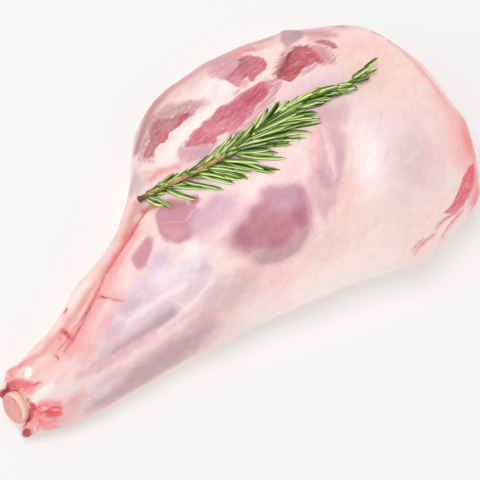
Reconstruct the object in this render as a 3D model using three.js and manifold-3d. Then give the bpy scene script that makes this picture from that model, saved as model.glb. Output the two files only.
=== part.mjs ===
// A raw hind leg of goat, shank on, lying on its outer side, with a sprig of rosemary across it.
// Millimetres. X runs along the leg from the shank's end (-X) to the rump (+X), +Y is the flank
// side, +Z is up, and z = 0 is the board it lies on.
import * as THREE from "three";
import { mergeVertices } from "three/addons/utils/BufferGeometryUtils.js";
import Module from "manifold-3d";

const wasm = await Module();
wasm.setup();

const clamp = THREE.MathUtils.clamp;
const degrees = THREE.MathUtils.degToRad;
const UP = new THREE.Vector3(0, 0, 1);
const UP_Y = new THREE.Vector3(0, 1, 0); // the axis that a lathe turns about

// ---- Solids --------------------------------------------------------------------------------

const SAME_PLACE = 1e-4; // points of a geometry closer than this are one

// A closed three.js geometry as a manifold-3d solid, for cutting and joining.
function solidOf(geometry) {
  const bare = geometry.clone();
  bare.deleteAttribute("normal");
  bare.deleteAttribute("uv");
  const merged = mergeVertices(bare, SAME_PLACE);
  return new wasm.Manifold(
    new wasm.Mesh({
      numProp: 3,
      vertProperties: merged.attributes.position.array,
      triVerts: new Uint32Array(merged.index.array),
    }),
  );
}

function geometryOf(solid) {
  const mesh = solid.getMesh();
  const geometry = new THREE.BufferGeometry();
  geometry.setAttribute("position", new THREE.BufferAttribute(mesh.vertProperties, 3));
  geometry.setIndex(new THREE.BufferAttribute(mesh.triVerts, 1));
  geometry.computeVertexNormals();
  return geometry;
}

// The largest connected body of a solid, without any loose scrap that cutting leaves.
function largestBody(solid) {
  return solid.decompose().reduce((best, body) => (body.volume() > best.volume() ? body : best));
}

// Rings of points joined into one closed skin, with a single point closing each end.
function skinOf(rings, firstTip, lastTip) {
  const sides = rings[0].length;
  const points = [firstTip, ...rings.flat(), lastTip];
  const faces = [];
  const at = (ring, side) => 1 + ring * sides + (side % sides);
  const last = points.length - 1;
  for (let side = 0; side < sides; side++) {
    faces.push(0, at(0, side + 1), at(0, side));
    faces.push(last, at(rings.length - 1, side), at(rings.length - 1, side + 1));
    for (let ring = 0; ring + 1 < rings.length; ring++) {
      const [a, b] = [at(ring, side), at(ring, side + 1)];
      const [c, d] = [at(ring + 1, side), at(ring + 1, side + 1)];
      faces.push(a, b, c, b, d, c);
    }
  }
  const geometry = new THREE.BufferGeometry().setFromPoints(points);
  geometry.setIndex(faces);
  return geometry;
}

// An ellipsoid with half-lengths size, turned about Z and then placed.
function ellipsoid({ at, size, turn = 0, sides = 14, levels = 9 }) {
  const geometry = new THREE.SphereGeometry(1, sides, levels).scale(...size);
  return geometry.rotateZ(degrees(turn)).translate(...at);
}

// ---- Leg form ------------------------------------------------------------------------------
// Sections across the leg. flank and near are its widest reach to +Y and -Y, crest is where it
// is highest, top is that height, and sole is how low its underside reaches before the board.

const SECTIONS = [
  { x: -172, near: -59, flank: -18, crest: -38, top: 30, sole: 2 },
  { x: -160, near: -63, flank: -10, crest: -38, top: 34, sole: 1 },
  { x: -130, near: -68, flank: -1, crest: -37, top: 38, sole: 0 },
  { x: -100, near: -69, flank: 16, crest: -34, top: 43, sole: -1 },
  { x: -70, near: -70, flank: 26, crest: -30, top: 49, sole: -2 },
  { x: -40, near: -74, flank: 49, crest: -24, top: 57, sole: -3 },
  { x: -10, near: -77, flank: 87, crest: -16, top: 66, sole: -4 },
  { x: 20, near: -83, flank: 101, crest: -8, top: 75, sole: -4 },
  { x: 50, near: -87, flank: 103, crest: -6, top: 81, sole: -4 },
  { x: 80, near: -94, flank: 101, crest: -8, top: 85, sole: -4 },
  { x: 110, near: -103, flank: 92.5, crest: -10, top: 86, sole: -4 },
  { x: 140, near: -101, flank: 83, crest: -11, top: 84, sole: -3 },
  { x: 165, near: -90, flank: 69, crest: -11, top: 79, sole: -2 },
  { x: 186, near: -70, flank: 55, crest: -10, top: 72, sole: -1 },
];

const SHANK_TIP = -176;
const RUMP_TIP = 187.5;
const SHANK_CAP = 8; // length over which the shank's end rounds off
const RUMP_CAP = 26; // length over which the rump's cut face rounds off
const CAP_POWER = 2.4; // how bluntly both ends round off
const GIRTH_LEVEL = 0.42; // height of the widest level, as a share of the top
const TOP_FULLNESS = 2.15; // exponent of the section above that level
const SOLE_FULLNESS = 3.2; // exponent below it, flatter where the meat settles

// A value of the section table at x, by a curve that doesn't overshoot between sections.
function sectionValue(key, x) {
  const last = SECTIONS.length - 1;
  const slope = (i) => {
    if (i <= 0 || i >= last) return 0;
    const before = (SECTIONS[i][key] - SECTIONS[i - 1][key]) / (SECTIONS[i].x - SECTIONS[i - 1].x);
    const after = (SECTIONS[i + 1][key] - SECTIONS[i][key]) / (SECTIONS[i + 1].x - SECTIONS[i].x);
    return before * after <= 0 ? 0 : (2 * before * after) / (before + after);
  };
  let i = 0;
  while (i < last - 1 && x > SECTIONS[i + 1].x) i++;
  const [from, to] = [SECTIONS[i], SECTIONS[i + 1]];
  const span = to.x - from.x;
  const t = clamp((x - from.x) / span, 0, 1);
  const [t2, t3] = [t * t, t * t * t];
  return (
    (2 * t3 - 3 * t2 + 1) * from[key] +
    (t3 - 2 * t2 + t) * span * slope(i) +
    (3 * t2 - 2 * t3) * to[key] +
    (t3 - t2) * span * slope(i + 1)
  );
}

// How much of the full section is left at x, from 1 down to 0 at each tip.
function capShare(x) {
  const into = Math.max((SHANK_TIP + SHANK_CAP - x) / SHANK_CAP, (x - RUMP_TIP + RUMP_CAP) / RUMP_CAP, 0);
  return Math.sqrt(Math.max(0, 1 - into ** CAP_POWER));
}

// The smooth skin at x, where round runs 0 to 360 degrees from the flank over the crest.
function smoothSkin(x, round) {
  const share = capShare(x);
  const value = (key) => sectionValue(key, x);
  const top = value("top");
  const girth = top * GIRTH_LEVEL;
  const across = Math.cos(degrees(round));
  const over = round < 180;
  const fullness = over ? TOP_FULLNESS : SOLE_FULLNESS;
  const rise = (1 - Math.abs(across) ** fullness) ** (1 / fullness);
  const reach = across > 0 ? value("flank") - value("crest") : value("crest") - value("near");
  const y = value("crest") + reach * across * share;
  const z = over ? girth + (top - girth) * rise * share : girth - (girth - value("sole")) * rise * share;
  return new THREE.Vector3(x, y, z);
}

// ---- Relief of the muscles -----------------------------------------------------------------
// Rises, or with a negative rise hollows, seen from above: centre, half-lengths along and
// across, and turn of the long way from +X in degrees.

const SWELLS = [
  { x: -95, y: -16, along: 38, across: 9, turn: 14, rise: 1.6 }, // front muscle of the shank
  { x: -85, y: -34, along: 50, across: 8, turn: 5, rise: 1.4 }, // its middle muscle
  { x: -80, y: -58, along: 50, across: 11, turn: 4, rise: 1.6 }, // its calf muscle
  { x: -18, y: -10, along: 22, across: 14, turn: -5, rise: 1.4 }, // end of the thigh muscle at the knee
  { x: -22, y: -54, along: 22, across: 14, turn: 20, rise: 2.2 }, // fat behind the knee
  { x: 27, y: -36, along: 29, across: 22, turn: 0, rise: -3 }, // dark muscle in its hollow of fat
  { x: 66, y: -20, along: 12, across: 34, turn: 0, rise: 1.2 }, // ridge beside that hollow
  { x: 92, y: -30, along: 12, across: 40, turn: -14, rise: -1.2 }, // shallow valley before the rump
  { x: 132, y: -45, along: 30, across: 32, turn: 0, rise: 2.4 }, // rump lobe
  { x: 0, y: 63, along: 25, across: 13, turn: 8, rise: -2 }, // first bare window in the flank's fat
  { x: 46, y: 46, along: 34, across: 9, turn: 3, rise: -2.2 }, // long bare strip
  { x: 72, y: 71, along: 15, across: 11, turn: 20, rise: -2 }, // second bare window
  { x: 103, y: 55, along: 18, across: 13, turn: 8, rise: -2.6 }, // deepest bare window
  { x: 129, y: 55, along: 5, across: 9, turn: 20, rise: -1.4 }, // small bare streak beside it
  { x: 30, y: 76, along: 28, across: 10, turn: 0, rise: 2 }, // thick fat between the windows
  { x: 88, y: 72, along: 5, across: 14, turn: 0, rise: 1.6 }, // fat seam between two windows
  { x: 114, y: 87, along: 14, across: 10, turn: -20, rise: 1.8 }, // grey flap laid over the edge
];

// Grooves seen from above, as [x, y] points, with their width and depth.
const GROOVES = [
  { route: [[-128, -24], [-97, -8], [-67, 10], [-50, 20], [-38, 27]], width: 4.5, depth: 2.6 },
  { route: [[-160, -44], [-120, -41], [-70, -34], [-25, -27]], width: 5, depth: 1.6 },
  { route: [[-150, -56], [-90, -49], [-40, -42], [-8, -40]], width: 5, depth: 1.5 },
  { route: [[-95, -8], [-80, -22], [-60, -26]], width: 4, depth: 1 },
];

// Creases down the rump's near side, as [x, round] points on the smooth skin.
const CREASES = [
  { route: [[96, 158], [118, 153], [140, 146], [158, 137], [172, 128]], width: 7, depth: 3 },
  { route: [[126, 178], [148, 171], [166, 163], [180, 154]], width: 6.5, depth: 2.2 },
];

// Muscles that swell out of the rump's cut face, with fat seams between them.
const END_MUSCLES = [
  { at: [186, -44, 42], reach: 25, rise: 3 },
  { at: [187, 8, 50], reach: 22, rise: 2.2 },
  { at: [183, 40, 30], reach: 20, rise: 3 },
  { at: [187, -6, 12], reach: 20, rise: 2 },
  { at: [180, -58, 12], reach: 18, rise: 1.8 },
];

// How far the point is from a line of points, and how far its nearest place is from the ends.
function nearestOn(route, point) {
  let nearest = Infinity;
  for (let i = 0; i + 1 < route.length; i++) {
    const closest = new THREE.Line3(route[i], route[i + 1]).closestPointToPoint(point, true, new THREE.Vector3());
    nearest = Math.min(nearest, closest.distanceTo(point));
  }
  return nearest;
}

const flat = ([x, y]) => new THREE.Vector3(x, y, 0);
const grooveLines = GROOVES.map((groove) => ({ ...groove, route: groove.route.map(flat) }));
const creaseLines = CREASES.map((crease) => ({
  ...crease,
  route: crease.route.map(([x, round]) => smoothSkin(x, round)),
}));

const RELIEF_FOOT = 12; // height above the board over which the relief fades in
const SWELL_BLUNTNESS = 1.5; // how flat-topped the swells are
const MUSCLE_BLUNTNESS = 4; // and the muscles of the cut face
const NORMAL_STEP = 0.5; // mm and degrees between the places that give the skin's normal

// How far the skin stands off its smooth form at a point of it.
function reliefAt(point) {
  let relief = 0;
  for (const { x, y, along, across, turn, rise } of SWELLS) {
    const away = new THREE.Vector2(point.x - x, point.y - y).rotateAround(new THREE.Vector2(), -degrees(turn));
    const far = (away.x / along) ** 2 + (away.y / across) ** 2;
    relief += rise * Math.exp(-(far ** SWELL_BLUNTNESS));
  }
  const below = new THREE.Vector3(point.x, point.y, 0);
  for (const { route, width, depth } of grooveLines) {
    relief -= depth * Math.exp(-((nearestOn(route, below) / width) ** 2));
  }
  for (const { route, width, depth } of creaseLines) {
    relief -= depth * Math.exp(-((nearestOn(route, point) / width) ** 2));
  }
  for (const { at, reach, rise } of END_MUSCLES) {
    relief += rise * Math.exp(-((point.distanceTo(new THREE.Vector3(...at)) / reach) ** MUSCLE_BLUNTNESS));
  }
  return relief;
}

// The leg's skin at x and round: the smooth form moved along its normal by the relief.
function legSkinPoint(x, round) {
  const point = smoothSkin(x, round);
  const along = smoothSkin(x + NORMAL_STEP, round).sub(smoothSkin(x - NORMAL_STEP, round));
  const about = smoothSkin(x, round + NORMAL_STEP).sub(smoothSkin(x, round - NORMAL_STEP));
  const normal = along.cross(about).normalize();
  const fade = clamp(point.z / RELIEF_FOOT, 0, 1);
  return point.addScaledVector(normal, -reliefAt(point) * fade);
}

const BARREL_RINGS = 58;
const SHANK_CAP_RINGS = 4;
const RUMP_CAP_RINGS = 9;
const TOP_SIDES = 34;
const SOLE_SIDES = 12;

// Places along the leg where its skin has a ring: even along it, and closer where an end rounds.
function ringStations() {
  const from = SHANK_TIP + SHANK_CAP;
  const to = RUMP_TIP - RUMP_CAP;
  const into = (step, steps) => Math.sin((0.5 * Math.PI * step) / (steps + 1)) ** (2 / CAP_POWER);
  const stations = [];
  for (let step = SHANK_CAP_RINGS; step > 0; step--) stations.push(from - SHANK_CAP * into(step, SHANK_CAP_RINGS));
  for (let step = 0; step <= BARREL_RINGS; step++) stations.push(from + ((to - from) * step) / BARREL_RINGS);
  for (let step = 1; step <= RUMP_CAP_RINGS; step++) stations.push(to + RUMP_CAP * into(step, RUMP_CAP_RINGS));
  return stations;
}

function legSkin() {
  const rings = ringStations().map((x) => {
    const points = [];
    for (let side = 0; side < TOP_SIDES; side++) points.push(legSkinPoint(x, (180 * side) / TOP_SIDES));
    for (let side = 0; side < SOLE_SIDES; side++) {
      points.push(legSkinPoint(x, 180 + (180 * side) / SOLE_SIDES));
    }
    return points;
  });
  const tip = (x) => new THREE.Vector3(x, sectionValue("crest", x), sectionValue("top", x) * GIRTH_LEVEL);
  return skinOf(rings, tip(SHANK_TIP), tip(RUMP_TIP));
}

// ---- Shank bone ----------------------------------------------------------------------------
// The shin bone: a shaft along the shank, and at its end a flared head whose round face looks
// out and up. It runs inside the meat, in a pocket of its own shape with a small clearance.

const HEAD_AT = [-180.4, -36.9, 19]; // middle of the head's face
const HEAD_TILT = 28; // degrees that the face looks up from -X
const HEAD_TURN = 8; // degrees that it is turned to the near side
const HEAD_RADIUS = 11.2;
const HEAD_DEPTH = 10;
const HEAD_WALL = 0.6; // share of its depth over which the head keeps its radius
const HEAD_NECK = 0.72; // share of its radius where it meets the shaft
const HEAD_SIDES = 20;
const RIM_WIDTH = 1.6; // raised rim round the face
const RIM_RISE = 0.7;
const RIM_ROUNDING = 1.4;
const SHAFT_RADIUS = 6.2;
const SHAFT_START = 0.7; // share of the head's depth at which the shaft begins
const SHAFT_FLARE = 1.2; // how much wider it is there
const FLARE_LENGTH = 14;
const SHAFT_END = [-38, -30, 27]; // middle of the shaft's far end, near the knee
const END_ROUNDING = 4; // length over which the far end narrows
const END_NARROWING = 0.6; // share of the shaft's radius left there
const SHAFT_SIDES = 16;
const CLEARANCE = 0.35; // gap between the bone and the meat

// The profile of a turned form as [radius, height] pairs, turned about Y.
function turned(profile, sides) {
  return new THREE.LatheGeometry(
    profile.map(([radius, height]) => new THREE.Vector2(radius, height)),
    sides,
  );
}

function boneSolid(grow = 0) {
  const radius = HEAD_RADIUS + grow;
  const dish = grow ? 0 : RIM_RISE;
  const back = -HEAD_DEPTH;
  const head = turned(
    [
      [0, back],
      [radius * HEAD_NECK, back],
      [radius, grow - HEAD_DEPTH * HEAD_WALL],
      [radius, grow - RIM_ROUNDING],
      [radius - RIM_WIDTH / 2, grow],
      [radius - RIM_WIDTH, grow - dish],
      [0, grow - dish],
    ],
    HEAD_SIDES,
  );
  head.rotateX(Math.PI / 2); // the lathe's axis, Y, becomes Z
  head.rotateY(-degrees(90 - HEAD_TILT)).rotateZ(degrees(HEAD_TURN)).translate(...HEAD_AT);
  const inward = new THREE.Vector3(Math.cos(degrees(HEAD_TILT)), 0, -Math.sin(degrees(HEAD_TILT)));
  inward.applyAxisAngle(UP, degrees(HEAD_TURN));
  const start = new THREE.Vector3(...HEAD_AT).addScaledVector(inward, HEAD_DEPTH * SHAFT_START);
  const end = new THREE.Vector3(...SHAFT_END);
  const length = start.distanceTo(end) + grow;
  const shaft = turned(
    [
      [0, 0],
      [SHAFT_RADIUS + SHAFT_FLARE + grow, 0],
      [SHAFT_RADIUS + grow, FLARE_LENGTH],
      [SHAFT_RADIUS + grow, length - END_ROUNDING],
      [SHAFT_RADIUS * END_NARROWING + grow, length],
      [0, length],
    ],
    SHAFT_SIDES,
  );
  const turn = new THREE.Quaternion().setFromUnitVectors(UP_Y, end.sub(start).normalize());
  shaft.applyQuaternion(turn).translate(start.x, start.y, start.z);
  return solidOf(head).add(solidOf(shaft));
}

// ---- Meat ----------------------------------------------------------------------------------
// Ends of tendons and muscle that stand round the bone at the shank's end.

const KNUCKLES = [
  { at: [-163, -19.5, 17], size: [12, 9, 11], turn: 15 }, // ankle knob on the flank side
  { at: [-159, -22, 25], size: [8, 5, 7], turn: 20 }, // tendon end on it
  { at: [-175, -23.5, 14], size: [9.5, 6, 8.5], turn: 25 }, // dark cut muscle between knob and bone
  { at: [-165, -53, 15], size: [14, 7.5, 11], turn: -6 }, // lobe on the near side
  { at: [-174, -51.5, 14], size: [8.5, 5.2, 7.5], turn: -8 }, // lobe beside the bone
  { at: [-180, -54, 10.5], size: [5.5, 4, 4.6], turn: 20 }, // stub of a cut tendon
];

const BOARD = 600; // a block under z = 0, wider than the leg, that cuts the underside flat

function legSolid() {
  const board = new THREE.BoxGeometry(BOARD, BOARD, BOARD).translate(0, 0, -BOARD / 2);
  const meat = KNUCKLES.reduce((sum, knuckle) => sum.add(solidOf(ellipsoid(knuckle))), solidOf(legSkin()));
  return largestBody(meat.subtract(solidOf(board)).subtract(boneSolid(CLEARANCE)));
}

// ---- Rosemary ------------------------------------------------------------------------------
// A woody stem laid over the meat, with narrow leaves in bunches all along it.

const STEM_ROUTE = [[-37, 35.5], [-28, 32.5], [-16, 29], [-3, 25.6], [10, 23.2], [25, 21], [38, 20.4],
  [49, 21.4], [61, 22.6], [74, 23.8], [86, 24], [100, 21.8], [113, 18], [121, 17.2], [128, 17.9]];
const STEM_LIFT = 3.4; // height of its middle over the meat
const STEM_RADII = [1.5, 0.7]; // at its cut foot and at its tip
const STEM_STEPS = 24;
const STEM_SIDES = 6;
const BUNCHES = 17;
const FIRST_BUNCH = 0.05; // shares of the stem at its first and last leaves
const LAST_BUNCH = 0.985;
const LEAF_HALF_WIDTH = 1.2;
const LEAF_STATIONS = [0, 0.3, 0.72, 1]; // places along a leaf where its blade is shaped
const LEAF_FULLNESS = [0, 1, 0.85, 0]; // share of its full width there
const LEAF_HALF_THICKNESS = 0.5;
const LEAF_SIDES = 4;
const LEAF_CLEARANCE = 0.9; // least height of a leaf's middle over the meat
const LEAF_RISE = 0.7; // how strongly a lifted leaf rises
const LEAF_DROOP = 0.22; // how much its tip sinks
const LENGTH_SPREAD = 0.3; // share by which the leaves' lengths differ
const STAND_SPREAD = 11; // degrees by which their directions differ
const ROLL_SPREAD = 40; // degrees by which they are rolled

// How the leaves change along the stem: for the near side and the flank side, how many degrees
// they stand off it and their length. The waist is just before the tuft at the tip.
const LEAF_HABIT = [
  { share: 0, near: 62, nearLength: 25, flank: 16, flankLength: 20 },
  { share: 0.08, near: 44, nearLength: 36, flank: 14, flankLength: 28 },
  { share: 0.2, near: 40, nearLength: 38, flank: 22, flankLength: 32 },
  { share: 0.35, near: 38, nearLength: 40, flank: 26, flankLength: 36 },
  { share: 0.5, near: 36, nearLength: 38, flank: 22, flankLength: 36 },
  { share: 0.6, near: 33, nearLength: 34, flank: 18, flankLength: 32 },
  { share: 0.7, near: 26, nearLength: 29, flank: 14, flankLength: 24 },
  { share: 0.78, near: 18, nearLength: 20, flank: 9, flankLength: 17 },
  { share: 0.87, near: 10, nearLength: 15, flank: 8, flankLength: 15 },
  { share: 0.94, near: 15, nearLength: 20, flank: 12, flankLength: 17 },
  { share: 1, near: 18, nearLength: 17, flank: 14, flankLength: 16 },
];

// The leaves of each bunch: side, lifts in degrees, shares of the length, and of the stand.
const LEAF_BUNCHES = [
  { side: "near", lifts: [-8, 12, 34], lengths: [0.85, 1, 0.8], stand: 1 },
  { side: "flank", lifts: [4, 30], lengths: [1, 0.8], stand: 1 },
  { side: "near", lifts: [58], lengths: [0.7], stand: 0.4 },
];

// A number from 0 to 1 that is always the same for the same two counts.
function chance(a, b) {
  const wave = Math.sin(a * 12.9898 + b * 78.233) * 43758.5453;
  return wave - Math.floor(wave);
}

function habitAt(key, share) {
  let i = 0;
  while (i < LEAF_HABIT.length - 2 && share > LEAF_HABIT[i + 1].share) i++;
  const [from, to] = [LEAF_HABIT[i], LEAF_HABIT[i + 1]];
  const t = clamp((share - from.share) / (to.share - from.share), 0, 1);
  return from[key] + (to[key] - from[key]) * t;
}

// Height of the meat under a place, found by looking down on it.
function heightFinder(meat) {
  const looker = new THREE.Raycaster();
  const down = new THREE.Vector3(0, 0, -1);
  return (x, y) => {
    looker.set(new THREE.Vector3(x, y, BOARD / 2), down);
    const hit = looker.intersectObject(meat, false)[0];
    return hit ? hit.point.z : 0;
  };
}

// A tapering rod or blade round a route: half-width and half-thickness at each of its points.
function bladeSolid(route, widths, thicknesses, sides, roll = 0) {
  const rings = [];
  for (let i = 1; i + 1 < route.length; i++) {
    const ahead = route[i + 1].clone().sub(route[i - 1]).normalize();
    const wide = UP.clone().cross(ahead).normalize().applyAxisAngle(ahead, roll);
    const high = ahead.clone().cross(wide);
    const ring = [];
    for (let side = 0; side < sides; side++) {
      const angle = (2 * Math.PI * side) / sides;
      ring.push(
        route[i]
          .clone()
          .addScaledVector(wide, widths[i] * Math.cos(angle))
          .addScaledVector(high, thicknesses[i] * Math.sin(angle)),
      );
    }
    rings.push(ring);
  }
  return solidOf(skinOf(rings, route[0], route[route.length - 1]));
}

function stemCurve(height) {
  return new THREE.CatmullRomCurve3(
    STEM_ROUTE.map(([x, y]) => new THREE.Vector3(x, y, height(x, y) + STEM_LIFT)),
    false,
    "centripetal",
  );
}

// One leaf's middle line: it leaves the stem towards one side, lifted and standing off it by so
// many degrees, and comes down on the meat without touching it.
function leafRoute(curve, height, { share, side, lift, stand, size, bend }) {
  const base = curve.getPointAt(share);
  const ahead = curve.getTangentAt(share).setZ(0).normalize();
  const outward = ahead.clone().cross(UP).multiplyScalar((side === "near" ? 1 : -1) * Math.cos(degrees(lift)));
  outward.addScaledVector(UP, LEAF_RISE * Math.sin(degrees(lift)));
  const heading = (angle) =>
    ahead.clone().multiplyScalar(Math.cos(degrees(angle))).addScaledVector(outward, Math.sin(degrees(angle)));
  const first = heading(stand * (1 - bend));
  const final = heading(stand * (1 + bend)).addScaledVector(UP, -LEAF_DROOP);
  return LEAF_STATIONS.map((t) => {
    const point = base.clone();
    point.addScaledVector(first, size * (t - t * t / 2)).addScaledVector(final, (size * t * t) / 2);
    point.z = Math.max(point.z, height(point.x, point.y) + LEAF_CLEARANCE);
    return point;
  });
}

function sprigSolid(meat) {
  const height = heightFinder(meat);
  const curve = stemCurve(height);
  const stemPoints = curve.getSpacedPoints(STEM_STEPS);
  const stemRadii = stemPoints.map((_, i) => THREE.MathUtils.lerp(...STEM_RADII, i / STEM_STEPS));
  const parts = [bladeSolid(stemPoints, stemRadii, stemRadii, STEM_SIDES)];
  const widths = LEAF_FULLNESS.map((part) => part * LEAF_HALF_WIDTH);
  const thicknesses = LEAF_FULLNESS.map((part) => part * LEAF_HALF_THICKNESS);
  let count = 0;
  for (let bunch = 0; bunch < BUNCHES; bunch++) {
    const share = FIRST_BUNCH + ((LAST_BUNCH - FIRST_BUNCH) * bunch) / (BUNCHES - 1);
    for (const { side, lifts, lengths, stand } of LEAF_BUNCHES) {
      lifts.forEach((lift, leaf) => {
        const differs = (kind) => chance(count, kind) - 0.5; // a different draw for each kind
        count += 1;
        const route = leafRoute(curve, height, {
          share,
          side,
          lift,
          stand: habitAt(side, share) * stand + STAND_SPREAD * differs(1),
          size: habitAt(side + "Length", share) * lengths[leaf] * (1 + LENGTH_SPREAD * differs(2)),
          bend: differs(3) / 2,
        });
        parts.push(bladeSolid(route, widths, thicknesses, LEAF_SIDES, degrees(ROLL_SPREAD * differs(4))));
      });
    }
  }
  return largestBody(wasm.Manifold.union(parts));
}

// ---- The part ------------------------------------------------------------------------------

const finish = (color, roughness) => new THREE.MeshStandardMaterial({ color, roughness, metalness: 0 });

function named(name, solid, material) {
  const mesh = new THREE.Mesh(geometryOf(solid), material);
  mesh.name = name;
  return mesh;
}

const group = new THREE.Group();
const leg = named("leg_meat", legSolid(), finish(0xe9c3bd, 0.45));
group.add(leg);
group.add(named("shank_bone", boneSolid(), finish(0xe8c0ac, 0.5)));
group.add(named("rosemary_sprig", sprigSolid(leg), finish(0x56783e, 0.6)));

export default group;
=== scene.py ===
import math

import bmesh
import bpy
import numpy as np
from mathutils import Matrix, Vector, noise
from mathutils.bvhtree import BVHTree
from mathutils.kdtree import KDTree


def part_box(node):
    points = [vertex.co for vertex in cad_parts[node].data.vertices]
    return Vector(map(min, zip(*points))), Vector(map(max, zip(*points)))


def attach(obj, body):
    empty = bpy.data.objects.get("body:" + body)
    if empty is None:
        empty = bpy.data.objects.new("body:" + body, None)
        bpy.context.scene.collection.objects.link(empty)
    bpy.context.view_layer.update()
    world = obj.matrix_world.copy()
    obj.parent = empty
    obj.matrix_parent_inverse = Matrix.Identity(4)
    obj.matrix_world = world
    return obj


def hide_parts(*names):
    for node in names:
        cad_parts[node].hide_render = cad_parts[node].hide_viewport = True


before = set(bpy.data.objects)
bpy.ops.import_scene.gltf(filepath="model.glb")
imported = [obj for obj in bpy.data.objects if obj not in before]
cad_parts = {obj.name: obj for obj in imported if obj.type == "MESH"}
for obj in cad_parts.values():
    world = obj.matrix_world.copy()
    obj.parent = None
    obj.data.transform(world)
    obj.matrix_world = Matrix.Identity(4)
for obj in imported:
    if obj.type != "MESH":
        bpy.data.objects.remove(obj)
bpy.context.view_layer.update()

MM = 0.001

# ---- The view ------------------------------------------------------------------------------
# The leg lies on a pale floor and is seen from well above, from its near side and a little from
# the shank's end. Places read off the photograph are pixels of its 480 x 480 frame.

PHOTO_SIDE = 480
VIEW_AZIMUTH = math.radians(-32.5)
VIEW_HEIGHT = math.radians(72)
VIEW_DISTANCE = 780 * MM
VIEW_TARGET = Vector((9, -22, 35)) * MM
LENS = 85
SENSOR = 36

toward_eye = Vector((
    math.sin(VIEW_AZIMUTH) * math.cos(VIEW_HEIGHT),
    -math.cos(VIEW_AZIMUTH) * math.cos(VIEW_HEIGHT),
    math.sin(VIEW_HEIGHT),
))
eye = VIEW_TARGET + toward_eye * VIEW_DISTANCE

camera = bpy.data.objects.new("camera", bpy.data.cameras.new("camera"))
camera.data.lens = LENS
camera.data.sensor_width = SENSOR
camera.location = eye
camera.rotation_euler = toward_eye.to_track_quat("Z", "Y").to_euler()
bpy.context.scene.collection.objects.link(camera)
bpy.context.scene.camera = camera

meat_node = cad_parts["leg_meat"]
meat_solid = BVHTree.FromPolygons(
    [corner.co for corner in meat_node.data.vertices],
    [face.vertices for face in meat_node.data.polygons],
)
OFF_LEG_LEVEL = 20 * MM  # height taken for a pixel that just misses the leg


def on_meat(pixel):
    """The place on the meat, in metres, that a pixel of the photograph shows."""
    right = Vector((math.cos(VIEW_AZIMUTH), math.sin(VIEW_AZIMUTH), 0))
    up = toward_eye.cross(right)
    focal = LENS / SENSOR * PHOTO_SIDE
    across = (pixel[0] - PHOTO_SIDE / 2) / focal
    down = (pixel[1] - PHOTO_SIDE / 2) / focal
    ray = (right * across - up * down - toward_eye).normalized()
    hit = meat_solid.ray_cast(eye, ray)[0]
    return hit or eye + ray * ((OFF_LEG_LEVEL - eye.z) / ray.z)


def in_plan(pixel):
    """The same place seen from above, in millimetres."""
    return np.array(on_meat(pixel)[:2]) / MM


def at_height(pixel, height):
    """The place that a pixel shows at a height in millimetres over the floor."""
    low = on_meat(pixel)
    return low + (eye - low) * ((height * MM - low.z) / (eye.z - low.z))


# ---- Leg of meat: its skin -----------------------------------------------------------------
# A whole hind leg of goat, trimmed of its hide, so that thin pale fat and silvery membrane
# cover the muscles. Its surface is one closed mesh, made even and then worked in relief.

SKIN_CELL = 1.65 * MM
SKIN_SMOOTHING = 26  # rounds
SAME_PLACE = 1e-6  # corners nearer to each other than this are one


def linked(name, mesh):
    piece = bpy.data.objects.new(name, mesh)
    bpy.context.scene.collection.objects.link(piece)
    return piece


def merged_copy(node):
    shape = bmesh.new()
    shape.from_mesh(node.data)
    bmesh.ops.remove_doubles(shape, verts=shape.verts, dist=SAME_PLACE)
    mesh = bpy.data.meshes.new(node.name + "_skin")
    shape.to_mesh(mesh)
    shape.free()
    return mesh


def make_even(piece, cell, rounds):
    """Gives the piece an even closed mesh and smooths it."""
    even = piece.modifiers.new("even", "REMESH")
    even.mode = "VOXEL"
    even.voxel_size = cell
    relax = piece.modifiers.new("relax", "SMOOTH")
    relax.factor = 0.5
    relax.iterations = rounds
    bpy.context.view_layer.update()
    mesh = bpy.data.meshes.new_from_object(piece.evaluated_get(bpy.context.evaluated_depsgraph_get()))
    piece.modifiers.clear()
    piece.data = mesh


def noise_at(place, size, seed=0.0):
    return noise.noise(Vector(place) / size + Vector((seed, seed, seed)))


meat = linked("leg", merged_copy(meat_node))
make_even(meat, SKIN_CELL, SKIN_SMOOTHING)

# Cut and torn ends of muscle and tendon round the bone at the ankle: pixel, height of the middle
# over the floor, half-lengths along, across and up, and turn in plan.
ANKLE_ENDS = {
    "knob": ((16, 376), 17, (8.5, 7, 8.5), 20),
    "tendon end": ((28, 373), 24, (7, 4.2, 4), 62),
    "cut muscle": ((7, 390), 14, (7.5, 5, 8), 45),
    "strands": ((24, 388), 17, (8, 4.5, 6), -25),
    "pale tendon": ((40, 393), 21, (13, 4.5, 5), 48),
    "torn flesh": ((47, 410), 17, (11, 5.5, 6), 20),
    "near lobe": ((46, 422), 12, (9.5, 5.5, 7), 12),
    "lobe by the bone": ((34, 421), 12.5, (6, 5, 7), 20),
    "stub": ((26, 431), 9.5, (6, 4.2, 4.4), -20),
}
LUMPINESS = 0.9  # how far the ends depart from plain rounded shapes, in millimetres
ENDS_SMOOTHING = 5  # rounds, once they are joined on

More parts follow.
